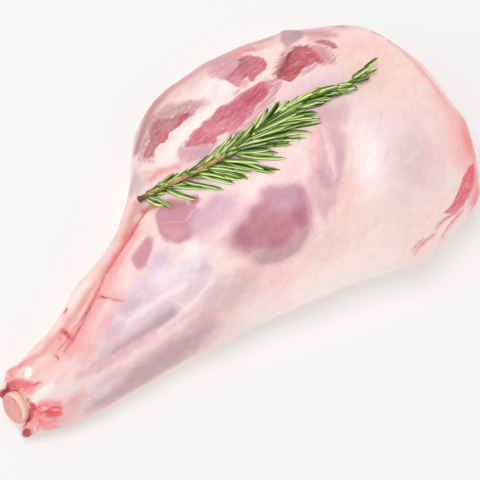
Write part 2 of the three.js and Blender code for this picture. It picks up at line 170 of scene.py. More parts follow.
shape = bmesh.new()
shape.from_mesh(meat.data)
for pixel, height, half_lengths, turn in ANKLE_ENDS.values():
    middle = at_height(pixel, height)
    put = (Matrix.Translation(middle) @ Matrix.Rotation(math.radians(turn), 4, "Z")
           @ Matrix.Diagonal((*(half * MM for half in half_lengths), 1)))
    end = bmesh.ops.create_icosphere(shape, subdivisions=4, radius=1, matrix=put)["verts"]
    for corner in end:
        rough = noise_at(corner.co, 4.5 * MM, 2.2) + 0.5 * noise_at(corner.co, 2 * MM, 7.1)
        corner.co += (corner.co - middle).normalized() * rough * LUMPINESS * MM
joined = bpy.data.meshes.new("leg_with_ends")
shape.to_mesh(joined)
shape.free()
meat.data = joined
make_even(meat, SKIN_CELL, ENDS_SMOOTHING)

# ---- Leg of meat: fine lines ---------------------------------------------------------------
# Blood lies in a groove beside the shin, the rump's near edge is creased, pale sinews cross the
# membrane and the lean shows long fibres. The mesh is divided along them, so that they stay thin.

# Half width in millimetres and line.
BLOOD_LINES = {
    "groove": (0.5, [(150, 205), (145, 212), (136, 225), (129, 237), (121, 249), (111, 264), (103, 279)]),
    "groove foot": (0.42, [(103, 279), (97, 292), (90, 305), (82, 322), (75, 335), (69, 345), (64, 352)]),
    "second groove": (0.25, [(96, 300), (86, 312), (78, 324), (71, 332), (66, 345)]),
    "third groove": (0.2, [(72, 334), (64, 343), (58, 350)]),
    "branch": (0.35, [(96, 298), (103, 297), (113, 299), (123, 301)]),
    "branch knot": (0.9, [(100, 296), (106, 298)]),
    "vein end": (1.1, [(67, 308), (64, 314)]),
    "hock spot": (0.9, [(67, 331), (65, 335)]),
    "hock speck": (0.5, [(60, 338), (61, 339)]),
    "ankle mark": (0.5, [(54, 355), (57, 356), (58, 360)]),
    "shin's edge": (0.35, [(9, 373), (14, 369), (19, 367), (25, 361)]),
    "rump rim": (0.7, [(371, 31), (378, 34), (386, 38), (396, 47)]),
    "first crease": (0.42, [(468, 206), (460, 213), (450, 218), (443, 223), (437, 229)]),
    "second crease": (0.35, [(436, 234), (428, 240), (421, 247), (415, 254)]),
    "second crease beside": (0.25, [(424, 239), (418, 244), (412, 251)]),
    "rump's dark edge": (0.7, [(469, 212), (461, 221), (453, 230), (444, 240)]),
    "edge of the deep window": (0.3, [(277, 72), (281, 66), (285, 58)]),
    "right of the deep window": (0.3, [(309, 47), (317, 54), (324, 62)]),
    "red edge of the middle window": (0.4, [(262, 59), (267, 65)]),
    "foot of the knee window": (0.35, [(144, 158), (147, 150), (151, 144)]),
    "under the long strip": (0.2, [(196, 146), (203, 145), (208, 145)]),
    "nick by the long strip": (0.4, [(234, 94), (239, 90)]),
}
SINEWS = {
    "right of the plum": (0.3, [(306, 204), (308, 212), (309, 222), (304, 232)]),
    "over the inner thigh": (0.3, [(160, 224), (172, 222), (185, 221), (192, 212), (200, 205), (211, 198),
        (218, 194)]),
    "edge of the inner thigh": (0.25, [(156, 214), (159, 208), (164, 206)]),
    "above the knee sinew": (0.4, [(138, 243), (142, 239), (147, 235)]),
    "band's edge": (0.2, [(229, 200), (238, 197), (246, 198)]),
    "calf fork": (0.4, [(150, 297), (166, 299), (180, 305), (188, 309)]),
    "calf seam": (0.6, [(177, 314), (190, 304), (202, 292), (214, 275)]),
    "streaked thigh": (0.35, [(322, 126), (328, 146), (333, 164), (337, 178)]),
    "rump edge": (0.5, [(454, 190), (444, 208), (431, 219), (419, 234), (409, 247)]),
    "rump edge beside": (0.25, [(452, 204), (440, 217), (428, 226)]),
    "flank line": (0.3, [(141, 150), (147, 132), (155, 116), (166, 101), (178, 90)]),
    "flank line beside": (0.25, [(137, 172), (141, 158), (147, 143)]),
    "flank line beyond": (0.25, [(184, 82), (200, 73), (214, 65)]),
    "shin thread": (0.25, [(88, 294), (80, 308), (74, 318), (70, 330)]),
    "shin thread beside": (0.2, [(94, 288), (87, 300), (78, 316), (71, 326)]),
    "knob thread": (0.25, [(14, 373), (22, 377), (30, 381)]),
}
FIBRES = {
    "long strip foot": (0.3, [(203, 131), (210, 129), (217, 129)]),
    "long strip rise": (0.25, [(216, 124), (222, 120), (230, 118), (237, 111)]),
    "long strip beside": (0.25, [(225, 115), (235, 107), (243, 101), (249, 96)]),
    "long strip lower": (0.25, [(218, 129), (228, 126), (238, 125)]),
    "long strip edge": (0.35, [(243, 121), (249, 112), (256, 104)]),
    "middle window": (0.3, [(230, 80), (239, 76), (246, 72)]),
    "middle window beside": (0.3, [(236, 84), (243, 81), (248, 76)]),
    "middle window left": (0.25, [(224, 78), (232, 72), (238, 66)]),
    "middle window tail": (0.3, [(240, 86), (247, 82), (253, 82)]),
    "deep row": (0.22, [(285, 69), (290, 68), (295, 69)]),
    "deep squiggle": (0.22, [(301, 55), (305, 53), (309, 52), (309, 58)]),
    "deep squiggle below": (0.2, [(292, 63), (297, 61), (302, 61)]),
    "deep streak": (0.22, [(295, 66), (301, 64), (307, 63)]),
    "deep streak below": (0.22, [(298, 71), (304, 68), (309, 68)]),
    "knee streak": (0.22, [(156, 140), (163, 130), (168, 122)]),
    "knee streak beside": (0.2, [(170, 128), (176, 121), (183, 115)]),
    "rump strip": (0.25, [(458, 200), (464, 190), (470, 178)]),
}

# The outlines of the windows in the fat that show bare lean.
LEAN_WINDOWS = {
    "knee": [(142, 158), (144, 152), (149, 143), (149, 131), (152, 123), (157, 119), (172, 117),
        (179, 114), (187, 112), (192, 114), (189, 118), (184, 121), (180, 126), (172, 131), (169, 133),
        (168, 139), (164, 143), (160, 144), (156, 149), (154, 154), (150, 158)],
    "long": [(182, 148), (187, 141), (190, 137), (194, 131), (199, 127), (204, 122), (210, 118),
        (217, 109), (230, 102), (241, 93), (251, 88), (259, 82), (264, 80), (269, 83), (276, 85),
        (272, 88), (266, 98), (257, 104), (254, 111), (249, 117), (242, 124), (237, 128), (227, 132),
        (217, 137), (216, 143), (200, 145)],
    "middle": [(225, 79), (230, 74), (236, 67), (240, 62), (235, 60), (244, 56), (251, 55), (261, 57),
        (265, 59), (267, 65), (266, 69), (261, 73), (257, 76), (253, 81), (250, 81), (247, 77), (244, 79),
        (241, 84), (239, 87), (234, 85), (228, 81)],
    "deep": [(276, 72), (280, 66), (285, 57), (289, 51), (294, 47), (300, 45), (307, 45), (314, 50),
        (319, 56), (325, 62), (321, 64), (315, 62), (310, 66), (303, 69), (300, 73), (295, 79), (290, 82),
        (283, 80), (277, 79)],
    "small": [(312, 42), (319, 40), (328, 40), (334, 43), (339, 48), (333, 49), (327, 46), (321, 44)],
    "rump strip": [(467, 170), (470, 165), (474, 163), (476, 170), (476, 181), (473, 196), (467, 204),
        (461, 209), (454, 214), (444, 213), (453, 204), (459, 190), (463, 178)],
}


def smooth_route(points, share):
    """A place on a smooth curve through points, by share of their number."""
    spot = min(max(share, 0), 1) * (len(points) - 1)
    i = min(int(spot), len(points) - 2)
    before, start, end, after = (points[min(max(j, 0), len(points) - 1)] for j in (i - 1, i, i + 1, i + 2))
    t = spot - i
    return 0.5 * (2 * start + (end - before) * t + (2 * before - 5 * start + 4 * end - after) * t * t
                  + (3 * start - before - 3 * end + after) * t * t * t)


def curved(pixels, per_span=3):
    """A smooth route in plan through pixels."""
    points = [in_plan(pixel) for pixel in pixels]
    count = per_span * (len(points) - 1)
    return [smooth_route(points, i / count) for i in range(count + 1)]


def tree_of(routes, step=0.6):
    """Places along routes in plan, closely spaced, to find the nearest of."""
    spots = []
    for route in routes:
        for start, end in zip(route, route[1:]):
            count = max(int(np.hypot(*(end - start)) / step), 1)
            spots += [start + (end - start) * (i / count) for i in range(count + 1)]
    tree = KDTree(len(spots))
    for number, spot in enumerate(spots):
        tree.insert((*spot, 0), number)
    tree.balance()
    return tree


blood_routes = [curved(line) for half_width, line in BLOOD_LINES.values()]
pale_routes = [curved(line) for group in (SINEWS, FIBRES) for half_width, line in group.values()]
window_routes = [[in_plan(pixel) for pixel in outline + outline[:1]] for outline in LEAN_WINDOWS.values()]
ANKLE_REACH = -156  # nearer the ankle than this place along the leg, the whole mesh is finer
LINE_REACH = 0.8  # how near a line or an edge the mesh is divided, in millimetres
BLOOD_REACH = 0.5  # and divided once more


def divide_faces(shape, routes, reach, past_ankle=-math.inf):
    """Divides the faces on top within reach of the routes, and all that lie past the ankle."""
    tree = tree_of(routes)
    near = set()
    for corner in shape.verts:
        x, y = corner.co.x / MM, corner.co.y / MM
        if x < past_ankle or corner.normal.z > 0.1 and tree.find((x, y, 0))[2] < reach:
            near.add(corner)
    edges = {edge for corner in near for face in corner.link_faces for edge in face.edges}
    bmesh.ops.subdivide_edges(shape, edges=list(edges), cuts=1, use_grid_fill=True)


shape = bmesh.new()
shape.from_mesh(meat.data)
divide_faces(shape, blood_routes + pale_routes + window_routes, LINE_REACH, ANKLE_REACH)
divide_faces(shape, blood_routes, BLOOD_REACH)
shape.to_mesh(meat.data)
shape.free()


def read_out(collection, name):
    flat = np.empty(len(collection) * 3)
    collection.foreach_get(name, flat)
    return flat.reshape(-1, 3)


skin = read_out(meat.data.vertices, "co")
skin_normals = read_out(meat.data.vertex_normals, "vector")
places = skin / MM
plan = places[:, :2]


def ramp(value, low, high):
    share = np.clip((value - low) / (high - low), 0, 1)
    return share * share * (3 - 2 * share)


def lumps(size, seed, stretch=(1, 1, 1), where=None):
    """Smooth noise from -1 to 1 over places in millimetres, with lumps of the given size."""
    scaled = (places if where is None else where) / size * stretch + seed
    return np.array([noise.noise(place) for place in scaled])


# How far, in millimetres, the edges of what shows through wander from the line that is drawn for
# them. Those of lines and cuts hardly do.
BROAD_WANDER = 1.5
FINE_WANDER = 0.6
STEADINESS = 0.35
fine_wander = FINE_WANDER * np.column_stack((lumps(2.6, 5.3), lumps(2.6, 27.9)))
drawn = plan + BROAD_WANDER * np.column_stack((lumps(9, 3.1), lumps(9, 17.7))) + fine_wander
steady = plan + STEADINESS * fine_wander


def off_route(route, where):
    """Distance in millimetres from a route in plan, and the share of the route that is nearest."""
    nearest = np.full(len(where), np.inf)
    at_share = np.zeros(len(where))
    for i, (start, end) in enumerate(zip(route, route[1:])):
        span = end - start
        share = np.clip(((where - start) @ span) / (span @ span), 0, 1)
        away = np.hypot(*(where - start - share[:, None] * span).T)
        at_share = np.where(away < nearest, (i + share) / (len(route) - 1), at_share)
        nearest = np.minimum(nearest, away)
    return nearest, at_share


def off_line(pixels, where=drawn):
    return off_route([in_plan(pixel) for pixel in pixels], where)[0]


def depth_in(pixels, where=drawn):
    """Depth in millimetres inside an outline drawn through pixels, negative outside it."""
    route = [in_plan(pixel) for pixel in pixels]
    inside = np.zeros(len(where), bool)
    for (x0, y0), (x1, y1) in zip(route, route[1:] + route[:1]):
        crosses = (where[:, 1] > y0) != (where[:, 1] > y1)
        inside ^= crosses & (where[:, 0] < x0 + (where[:, 1] - y0) * (x1 - x0) / (y1 - y0 or 1))
    return np.where(inside, 1, -1) * off_line(pixels + pixels[:1], where)


def inside(pixels, soft, where=drawn):
    return ramp(depth_in(pixels, where), -soft, soft)


def beside(pixels, width, where=drawn):
    return np.exp(-((off_line(pixels, where) / width) ** 2))


def round_about(pixel, along, across, turn=0.0, where=drawn):
    """A round or long spot of half-lengths in millimetres, its long way turned from +X."""
    offset = where - in_plan(pixel)
    cosine, sine = math.cos(math.radians(turn)), math.sin(math.radians(turn))
    far = ((offset @ (cosine, sine)) / along) ** 2 + ((offset @ (-sine, cosine)) / across) ** 2
    return np.exp(-far)


upward = ramp(skin_normals[:, 2], -0.25, 0.2)  # 1 where the skin shows from above

# ---- Leg of meat: fat and membrane ---------------------------------------------------------
# Thick fat is cream. Where it is thin the muscle shows through, from lilac over mauve to plum,
# and where it is flushed it is rose or salmon. Washes of colour are laid one over another, and some
# of them are painted light, painted shade, painted shadow and painted highlight.

TOP_VIEW_TURN = 57  # plan direction, in degrees from +X, that points up in the photograph


def linear(code):
    """A colour written as #rrggbb, as Blender's linear values."""
    parts = [int(code[i:i + 2], 16) / 255 for i in (1, 3, 5)]
    return tuple(p / 12.92 if p <= 0.04045 else ((p + 0.055) / 1.055) ** 2.4 for p in parts) + (1,)


tint = np.tile(linear("#fcdcd6")[:3], (len(skin), 1))


def wash(code, field, strength=1.0, onto=tint):
    onto[:] += (np.array(linear(code)[:3]) - onto) * (field * strength)[:, None]


# Thick fat, as spots, with painted light on the thigh's foot, a painted shadow beside the sprig and partly
# painted highlight on the rump crown: colour, strength, place, half-lengths and turn.
FAT_SPOTS = {
    "upper rump": ("#fcd2c6", 0.9, (394, 72), 36, 26, 0),
    "upper rump beside the tip": ("#fddad0", 0.8, (392, 92), 20, 10, 0),
    "rump shoulder": ("#fbcdc6", 0.9, (440, 98), 12, 18, 0),
    # Partly painted highlight: the rump crown and its top are pale fat, lightened more where the broad
    # highlight lies.
    "rump crown": ("#fdebea", 1.0, (370, 155), 32, 12, TOP_VIEW_TURN),
    "rump crown top": ("#fae0e2", 0.9, (384, 128), 14, 13, 0),
    "rump hollow": ("#e6cad2", 1.0, (416, 160), 25, 17, TOP_VIEW_TURN),
    "rump hollow foot": ("#e6cfd0", 0.8, (408, 200), 14, 9, 0),
    "rump foot": ("#f1d8cf", 0.9, (392, 230), 38, 18, 0),
    "rump near edge": ("#fbd5cf", 0.9, (432, 218), 14, 10, 0),
    "seam before the rump": ("#fad2c8", 1.0, (347, 195), 30, 7, TOP_VIEW_TURN),
    # Partly painted light: the thigh's foot is pale fat, lightened more on the near slope that turns from the
    # light above.
    "thigh foot": ("#fde5dd", 1.0, (326, 284), 42, 15, 0),
    "thigh hollow": ("#f0d2c8", 0.9, (328, 244), 17, 12, 0),
    "rose under the dark muscle": ("#f3c3bf", 1.0, (256, 268), 20, 7, 0),
    "rose low on the thigh": ("#fac6c3", 0.9, (274, 288), 16, 11, 0),
    "knee fat": ("#fdf0ef", 1.0, (196, 250), 22, 7, 10),
    "knee fat beyond": ("#fbd9cd", 1.0, (216, 258), 13, 6, 0),
    "below the knee fat": ("#eddde6", 0.9, (190, 272), 20, 7, 0),
    "edge of the calf": ("#eed6cf", 1.0, (248, 316), 18, 10, 0),
    "flank fat": ("#fdecea", 1.0, (212, 88), 24, 14, 0),
    "flank fat below": ("#f3d9d0", 0.8, (186, 92), 15, 8, 30),
    "flank fat's white band": ("#fff3f1", 1.0, (196, 122), 36, 6, 14),
    "over the deep window": ("#fac8be", 0.9, (356, 48), 28, 12, -20),
    "under the deep window": ("#f6d3d8", 1.0, (302, 90), 24, 9, 0),
    "by the sprig's waist": ("#efcbd6", 0.9, (322, 84), 14, 6, 0),
    # Painted shadow: a pink-lilac spot stands in for the sprig's soft shadow beside it.
    "beside the sprig": ("#f6d0d2", 1.0, (298, 172), 12, 12, 0),
    "above the dark muscle": ("#fbdedb", 1.0, (245, 192), 12, 5, 0),
    "shin fat": ("#f3cbc0", 0.9, (98, 266), 22, 5, 0),
    "shin top": ("#ecbfb5", 0.9, (118, 236), 14, 5, 20),
    "shin by the groove": ("#f1cac4", 0.8, (146, 232), 10, 6, 0),
    "hock": ("#f3b1ab", 1.0, (64, 345), 24, 12, -20),
    "hock edge": ("#f0a39c", 0.8, (60, 330), 12, 5, 0),
    "hock's pale edge": ("#f8dccd", 0.8, (57, 327), 6, 3, 20),
    "shin's pale edge": ("#fbe9dd", 0.9, (79, 298), 8, 4, 20),
    "ankle": ("#f6c3bb", 0.9, (40, 370), 14, 10, 0),
    "ankle upper side": ("#fad6ca", 0.9, (38, 360), 9, 5, 0),
    "ankle near side": ("#e2adab", 0.9, (74, 404), 16, 8, 20),
    "ankle below": ("#f0b8b2", 0.9, (58, 421), 12, 4, 20),
}
for code, strength, middle, along, across, turn in FAT_SPOTS.values():
    wash(code, round_about(middle, along, across, turn), strength)

# Muscles seen through the membrane, with painted shade on the knee's outline and the flank, painted shadow
# under and beside the sprig and partly painted highlight on the calf sheath: colour, strength, softness of
# the edge, outline.
THROUGH_MEMBRANE = {
    "calf": ("#e7cad5", 1.0, 6, [(100, 334), (116, 304), (134, 282), (158, 264), (200, 262), (216, 278),
        (200, 298), (170, 312), (130, 340), (94, 364)]),
    "calf's dark side": ("#debcc8", 0.9, 5, [(104, 330), (114, 304), (132, 294), (146, 304), (128, 326),
        (108, 344)]),
    # Partly painted highlight: the calf sheath is pale membrane, lightened more where the soft highlight
    # lies.
    "calf sheath and painted highlight": ("#f1dde4", 0.9, 5, [(152, 272), (178, 262), (204, 270), (192, 284), (158, 290)]),
    "calf's grey end": ("#dcc1c5", 0.9, 2.5, [(192, 266), (206, 261), (212, 268), (202, 273),
        (190, 272)]),
    "calf beyond": ("#e0bfbc", 1.0, 6, [(196, 312), (204, 292), (220, 276), (240, 268), (256, 274),
        (256, 292), (234, 312), (210, 330), (190, 326)]),
    "near calf": ("#c7a1a9", 1.0, 6, [(86, 412), (96, 390), (130, 366), (168, 340), (204, 320),
        (222, 326), (190, 362), (150, 386), (104, 410)]),
    "shin muscle": ("#c299a6", 1.0, 4, [(90, 368), (106, 352), (138, 332), (172, 306), (184, 314),
        (152, 338), (122, 356), (98, 372)]),
    "lilac of the ankle": ("#e2c4cd", 1.0, 4, [(84, 402), (98, 380), (120, 366), (130, 372), (106, 394)]),
    "pale of the ankle": ("#f4dcd9", 0.9, 4, [(56, 392), (70, 378), (92, 368), (96, 376), (78, 390),
        (62, 400)]),
    "lilac by the knee": ("#e3c9d7", 1.0, 3.5, [(155, 250), (168, 247), (169, 262), (158, 268),
        (148, 268)]),
    "knee sinew": ("#d18c9e", 0.95, 1.7, [(146, 239), (150, 236), (154, 239), (152, 252), (146, 265),
        (140, 270), (133, 265), (130, 259), (136, 250)]),
    "lilac of the band": ("#daa9bf", 0.8, 3, [(212, 200), (222, 196), (232, 198), (228, 210),
        (216, 216)]),
    "pale of the band": ("#efc0c9", 0.95, 4, [(228, 202), (248, 198), (252, 208), (246, 222), (232, 228),
        (220, 226)]),
    "below the band": ("#f1c4c9", 0.8, 4, [(196, 232), (224, 226), (236, 232), (226, 244), (200, 244)]),
    "inner thigh": ("#d18ea2", 1.0, 1.3, [(156, 212), (159, 208), (172, 206), (184, 204), (198, 206),
        (204, 216), (200, 230), (190, 240), (178, 244), (166, 242), (159, 234), (156, 222)]),
    "inner thigh band": ("#dfafc0", 1.0, 5, [(194, 214), (204, 202), (218, 194), (236, 196), (233, 208),
        (224, 222), (206, 234), (194, 238), (190, 226)]),
    "inner thigh foot": ("#e09faa", 0.8, 3, [(164, 228), (176, 226), (184, 232), (178, 241), (168, 239)]),
    # Painted shadow: dark red under the near-side leaves of the sprig.
    "under the sprig": ("#cc6277", 0.9, 1.5, [(190, 197), (198, 194), (202, 198), (196, 206),
        (190, 205)]),
    "dark muscle's haze": ("#dcb0bd", 0.9, 6, [(222, 244), (236, 222), (250, 208), (262, 190), (304, 184),
        (314, 206), (313, 230), (302, 250), (280, 262), (254, 264), (230, 254)]),
    "dark muscle rim": ("#d6a2aa", 1.0, 3, [(225, 238), (238, 224), (250, 212), (254, 206), (261, 203),
        (262, 190), (270, 186), (304, 184), (312, 206), (313, 226), (306, 242), (296, 252), (280, 261),
        (258, 262), (244, 256), (230, 248)]),
    "dark muscle": ("#c37c8e", 1.0, 3.6, [(232, 244), (235, 228), (247, 222), (251, 212), (256, 206),
        (263, 203), (264, 194), (270, 189), (293, 189), (303, 190), (308, 206), (310, 220), (306, 232),
        (296, 244), (282, 251), (268, 254), (254, 252), (242, 251)]),
    "dark muscle heart": ("#b76b7c", 0.8, 5, [(248, 236), (256, 224), (268, 216), (284, 214), (290, 228),
        (284, 243), (268, 249), (252, 246)]),
    "dark muscle left": ("#ad6475", 0.8, 2.5, [(236, 236), (242, 226), (250, 226), (252, 244),
        (242, 249)]),
    "dark muscle right": ("#b06479", 0.8, 3.5, [(288, 196), (299, 192), (304, 208), (302, 222),
        (292, 220)]),
    "dark muscle top": ("#cb97ac", 0.9, 5, [(262, 190), (276, 186), (300, 188), (302, 204), (284, 212),
        (266, 208)]),
    "dark muscle foot": ("#c39c9e", 0.95, 2.2, [(251, 247), (268, 250), (284, 247), (292, 238),
        (296, 231), (308, 232), (303, 244), (291, 254), (276, 261), (260, 262), (253, 257)]),
    # Partly painted shadow: lilac membrane, darker where the sprig's tip casts its shadow.
    "lilac and painted shadow by the sprig's tip": ("#e0b3bb", 0.85, 4.5, [(316, 112), (328, 104), (346, 102), (349, 112),
        (348, 124), (332, 127), (318, 122)]),
    "streaked thigh": ("#e3b3ba", 1.0, 3.5, [(318, 128), (340, 126), (346, 136), (344, 172), (338, 200),
        (326, 222), (314, 206), (308, 184), (312, 150)]),
    "streak by the seam": ("#d7acbb", 0.8, 2, [(333, 152), (340, 148), (345, 156), (343, 172), (338, 184),
        (334, 170)]),
    "streak below": ("#ca99a8", 0.8, 2, [(315, 170), (322, 168), (330, 178), (332, 188), (324, 190),
        (318, 182)]),
    "pale streak": ("#f9ccca", 0.9, 2, [(320, 126), (326, 124), (332, 144), (338, 168), (336, 178),
        (330, 164), (324, 144)]),
    "pale streak beside": ("#f7c7c5", 0.8, 2.5, [(306, 130), (316, 128), (322, 148), (318, 168),
        (308, 164)]),
    "flap": ("#bb929c", 1.0, 1.0, [(281, 32), (290, 31), (302, 31), (304, 36), (298, 41), (291, 46),
        (284, 47), (280, 42)]),
    "flap's dark side": ("#a67c88", 0.8, 1.5, [(293, 32), (303, 31), (305, 36), (298, 38)]),
    "beyond the flap": ("#dfa8a5", 0.9, 3, [(304, 30), (334, 29), (330, 38), (308, 41)]),
    "under the flap": ("#d7a9af", 0.8, 2, [(284, 44), (294, 42), (290, 50), (284, 56)]),
    "between two windows": ("#dd9196", 1.0, 1.6, [(312, 46), (322, 47), (330, 55), (330, 61), (322, 60),
        (316, 53)]),
    "edge by the middle window": ("#e0a5ae", 0.9, 4, [(209, 70), (216, 62), (226, 55), (240, 56),
        (242, 62), (236, 70), (228, 79), (222, 78), (216, 72)]),
    "under the middle window": ("#e7a2a8", 0.9, 1.6, [(234, 84), (244, 80), (252, 80), (248, 87),
        (240, 88)]),
    "over the knee window": ("#cb9b97", 1.0, 3, [(146, 130), (152, 116), (166, 104), (188, 103),
        (178, 112), (156, 120)]),
    "flank shade": ("#ddb0ad", 1.0, 4, [(164, 110), (184, 106), (204, 99), (210, 105), (190, 114)]),
    "below the long strip": ("#dab0bb", 0.8, 5, [(179, 150), (190, 147), (204, 147), (216, 145),
        (212, 156), (196, 162), (178, 160)]),
    "lavender by the sprig": ("#d8b5c3", 0.9, 2, [(198, 150), (214, 146), (210, 158), (198, 164)]),
    # Painted shadow: brownish rose where the sprig's foot shades the meat.
    "painted shadow under the sprig's foot": ("#b6797c", 0.9, 3, [(156, 204), (176, 198), (190, 200), (184, 208),
        (164, 211)]),
    # Painted shade: grey and mauve along the knee's outline, where the flank turns away.
    "painted shade on the knee's edge": ("#cbb0ac", 0.9, 4, [(126, 200), (132, 178), (140, 166), (146, 176), (138, 196)]),
    "painted shade on the knee's flank": ("#d3b3b1", 1.0, 4, [(128, 196), (136, 168), (146, 160), (152, 172),
        (140, 190)]),
    "knee fat's edge": ("#eec4bd", 0.9, 3, [(142, 160), (154, 162), (166, 166), (156, 178), (144, 184),
        (138, 176)]),
}
for code, strength, soft, outline in THROUGH_MEMBRANE.values():
    wash(code, inside(outline, soft) * upward, strength)

# Flushed and bloody places and the pale folds between muscles, with painted shade along the flank's outline,
# painted shadow at the sprig's foot, painted light on the near edge and partly painted highlight on the
# calf's white fascia: colour, strength, width, line.
STREAKS = {
    "rump band": ("#f28487", 1.0, 9, [(464, 122), (470, 144), (480, 166), (480, 200)]),
    "rump band glow": ("#fbb3ae", 0.8, 9, [(448, 104), (458, 132), (462, 160)]),
    "rump band's heart": ("#f57f80", 0.7, 5, [(466, 136), (472, 156), (480, 172)]),
    "fold between the calves": ("#eabcc0", 1.0, 2.6, [(78, 376), (127, 350), (173, 323), (193, 310),
        (208, 288)]),
    "fold above the shin muscle": ("#e8cbd3", 0.9, 2.6, [(112, 322), (140, 312), (170, 296), (190, 282)]),
    "flush beside the groove": ("#f0aaa9", 0.95, 5.5, [(134, 236), (118, 264), (106, 290), (88, 320),
        (72, 350)]),
    "flush below the groove": ("#f2b6b3", 0.8, 4, [(106, 292), (118, 298), (110, 316), (96, 340),
        (84, 360)]),
    "shin edge": ("#e99d98", 0.9, 2.6, [(84, 300), (74, 316), (60, 334), (44, 350), (30, 362)]),
    # Partly painted shade: the flank's outline is flushed salmon and darkened where it turns away at the far
    # side.
    "flank edge": ("#c98486", 1.0, 4.5, [(138, 150), (145, 126), (154, 106), (168, 91), (182, 79)]),
    "flank edge beyond": ("#e39c9b", 1.0, 4.5, [(184, 79), (206, 66), (228, 54), (250, 45), (268, 40)]),
    # Painted shade: a thin dark mauve line along the flank's outline.
    "painted shade on the flank rim": ("#a97380", 0.9, 2.0, [(136, 152), (143, 127), (153, 105), (168, 88), (184, 76)]),
    "salmon under the edge": ("#f1908c", 1.0, 2.8, [(236, 55), (246, 51), (256, 47), (264, 45)]),
    "red under the edge": ("#ea6f72", 0.8, 1.2, [(244, 51), (250, 49), (255, 50)]),
    "cream by the flap": ("#f7d6bf", 0.8, 3, [(256, 46), (266, 44), (276, 42)]),
    "rump top edge": ("#d68b8a", 1.0, 5.5, [(316, 27), (340, 26), (362, 26), (382, 31), (398, 44)]),
    "plum over the small window": ("#cf8f98", 0.8, 3, [(304, 34), (320, 33), (336, 35)]),
    "rump shoulder edge": ("#e9a09c", 0.8, 3, [(398, 46), (414, 62), (430, 80), (446, 102)]),
    "foot of the sprig": ("#ee8a86", 0.75, 2.4, [(150, 180), (158, 173), (168, 168), (178, 165)]),
    "white over the foot": ("#fbe9e7", 0.7, 2.6, [(142, 168), (154, 166), (166, 163), (176, 160)]),
    # Partly painted highlight: the calf's white fascia is pale, lightened more where soft highlights lie
    # along the calf seam and sheath.
    "white fascia": ("#f8eef4", 0.7, 2.6, [(128, 322), (148, 307), (168, 295), (186, 284)]),
    "white fascia by the seam": ("#f7ecf0", 0.6, 2.1, [(158, 331), (176, 318), (198, 300), (212, 280)]),
    "white fascia above": ("#f5ecf4", 0.6, 3.2, [(150, 282), (170, 270), (196, 264)]),
    "shin fascia": ("#fdeae4", 0.5, 0.9, [(138, 222), (128, 241), (118, 257), (108, 274)]),
    # Painted shadow: the sprig's foot shades the meat below and beside it.
    "painted shadow below the foot": ("#b67b70", 1.0, 3.2, [(142, 211), (150, 207), (160, 204), (170, 203)]),
    "shade by the foot": ("#c39c90", 0.8, 2.6, [(138, 204), (146, 199), (152, 192)]),
    "knee fold": ("#dd9c94", 1.0, 3.4, [(138, 204), (132, 218), (126, 236)]),
    "shank's flank edge": ("#e9a49e", 0.9, 3.4, [(118, 254), (104, 272), (92, 290), (80, 304),
        (68, 320)]),
    # Painted light: the near edge is lightened where the thigh's near slope turns from the light above.
    "near edge": ("#ffefeb", 0.6, 8, [(252, 326), (290, 308), (340, 288), (390, 264)]),
    "red by the groove": ("#ee6f6c", 0.95, 2.2, [(137, 225), (130, 235), (124, 245), (114, 257),
        (108, 270)]),
    "red by the hairline": ("#e88988", 0.7, 1.8, [(103, 280), (95, 298), (84, 320), (72, 342)]),
    "torn red": ("#d8505a", 0.9, 1.4, [(62, 330), (67, 333), (70, 338)]),
    "salmon above the ankle": ("#ef9d96", 0.8, 2.4, [(34, 356), (24, 363), (14, 370)]),
    "knob's side": ("#ef9c95", 0.8, 3, [(10, 374), (12, 380), (20, 383)]),
    "torn flesh's pale side": ("#f4a5a0", 0.8, 1.8, [(40, 404), (50, 402), (60, 403)]),
    "lobes": ("#f3aaa4", 0.9, 3, [(32, 421), (46, 423), (56, 421)]),
}
THIN_STREAK = 2  # one no wider than this, in millimetres, keeps to its line
for code, strength, width, line in STREAKS.values():
    wash(code, beside(line, width, drawn if width > THIN_STREAK else steady), strength)

# Painted shade, with the thin fat's flush: the flank's side, where it turns under at the far outline, is
# darkened to a brownish rose.
flank_painted_shade = ramp(skin_normals[:, 1], 0.35, 0.85) * ramp(places[:, 0], -70, -35) * upward
wash("#c98789", flank_painted_shade * (0.75 + 0.25 * lumps(12, 9.9)), 0.75)

# Cuts between the ends of muscle at the ankle: depth, width and line.
ANKLE_CUTS = {
    "knob cut": (1.1, 1.2, [(12, 382), (20, 383), (30, 383)]),
    "over the strands": (0.9, 0.9, [(14, 387), (24, 388), (33, 386)]),
    "cut muscle's edge": (0.8, 1.2, [(1, 398), (6, 391), (11, 384)]),
    "by the bone": (1.9, 1.7, [(27, 399), (33, 407), (32, 415), (24, 424)]),
    "torn flesh": (1.1, 1.0, [(38, 409), (46, 407), (54, 410), (61, 408)]),
    "torn flesh below": (1.1, 1.0, [(34, 416), (44, 414), (52, 416), (60, 414)]),
    "between the lobes": (1.2, 1.0, [(40, 418), (41, 424), (37, 429)]),
    "round the stub": (1.0, 1.0, [(22, 427), (27, 425), (32, 429)]),
}
for depth, width, line in ANKLE_CUTS.values():
    wash("#dc5a62", beside(line, width, steady), 0.6)

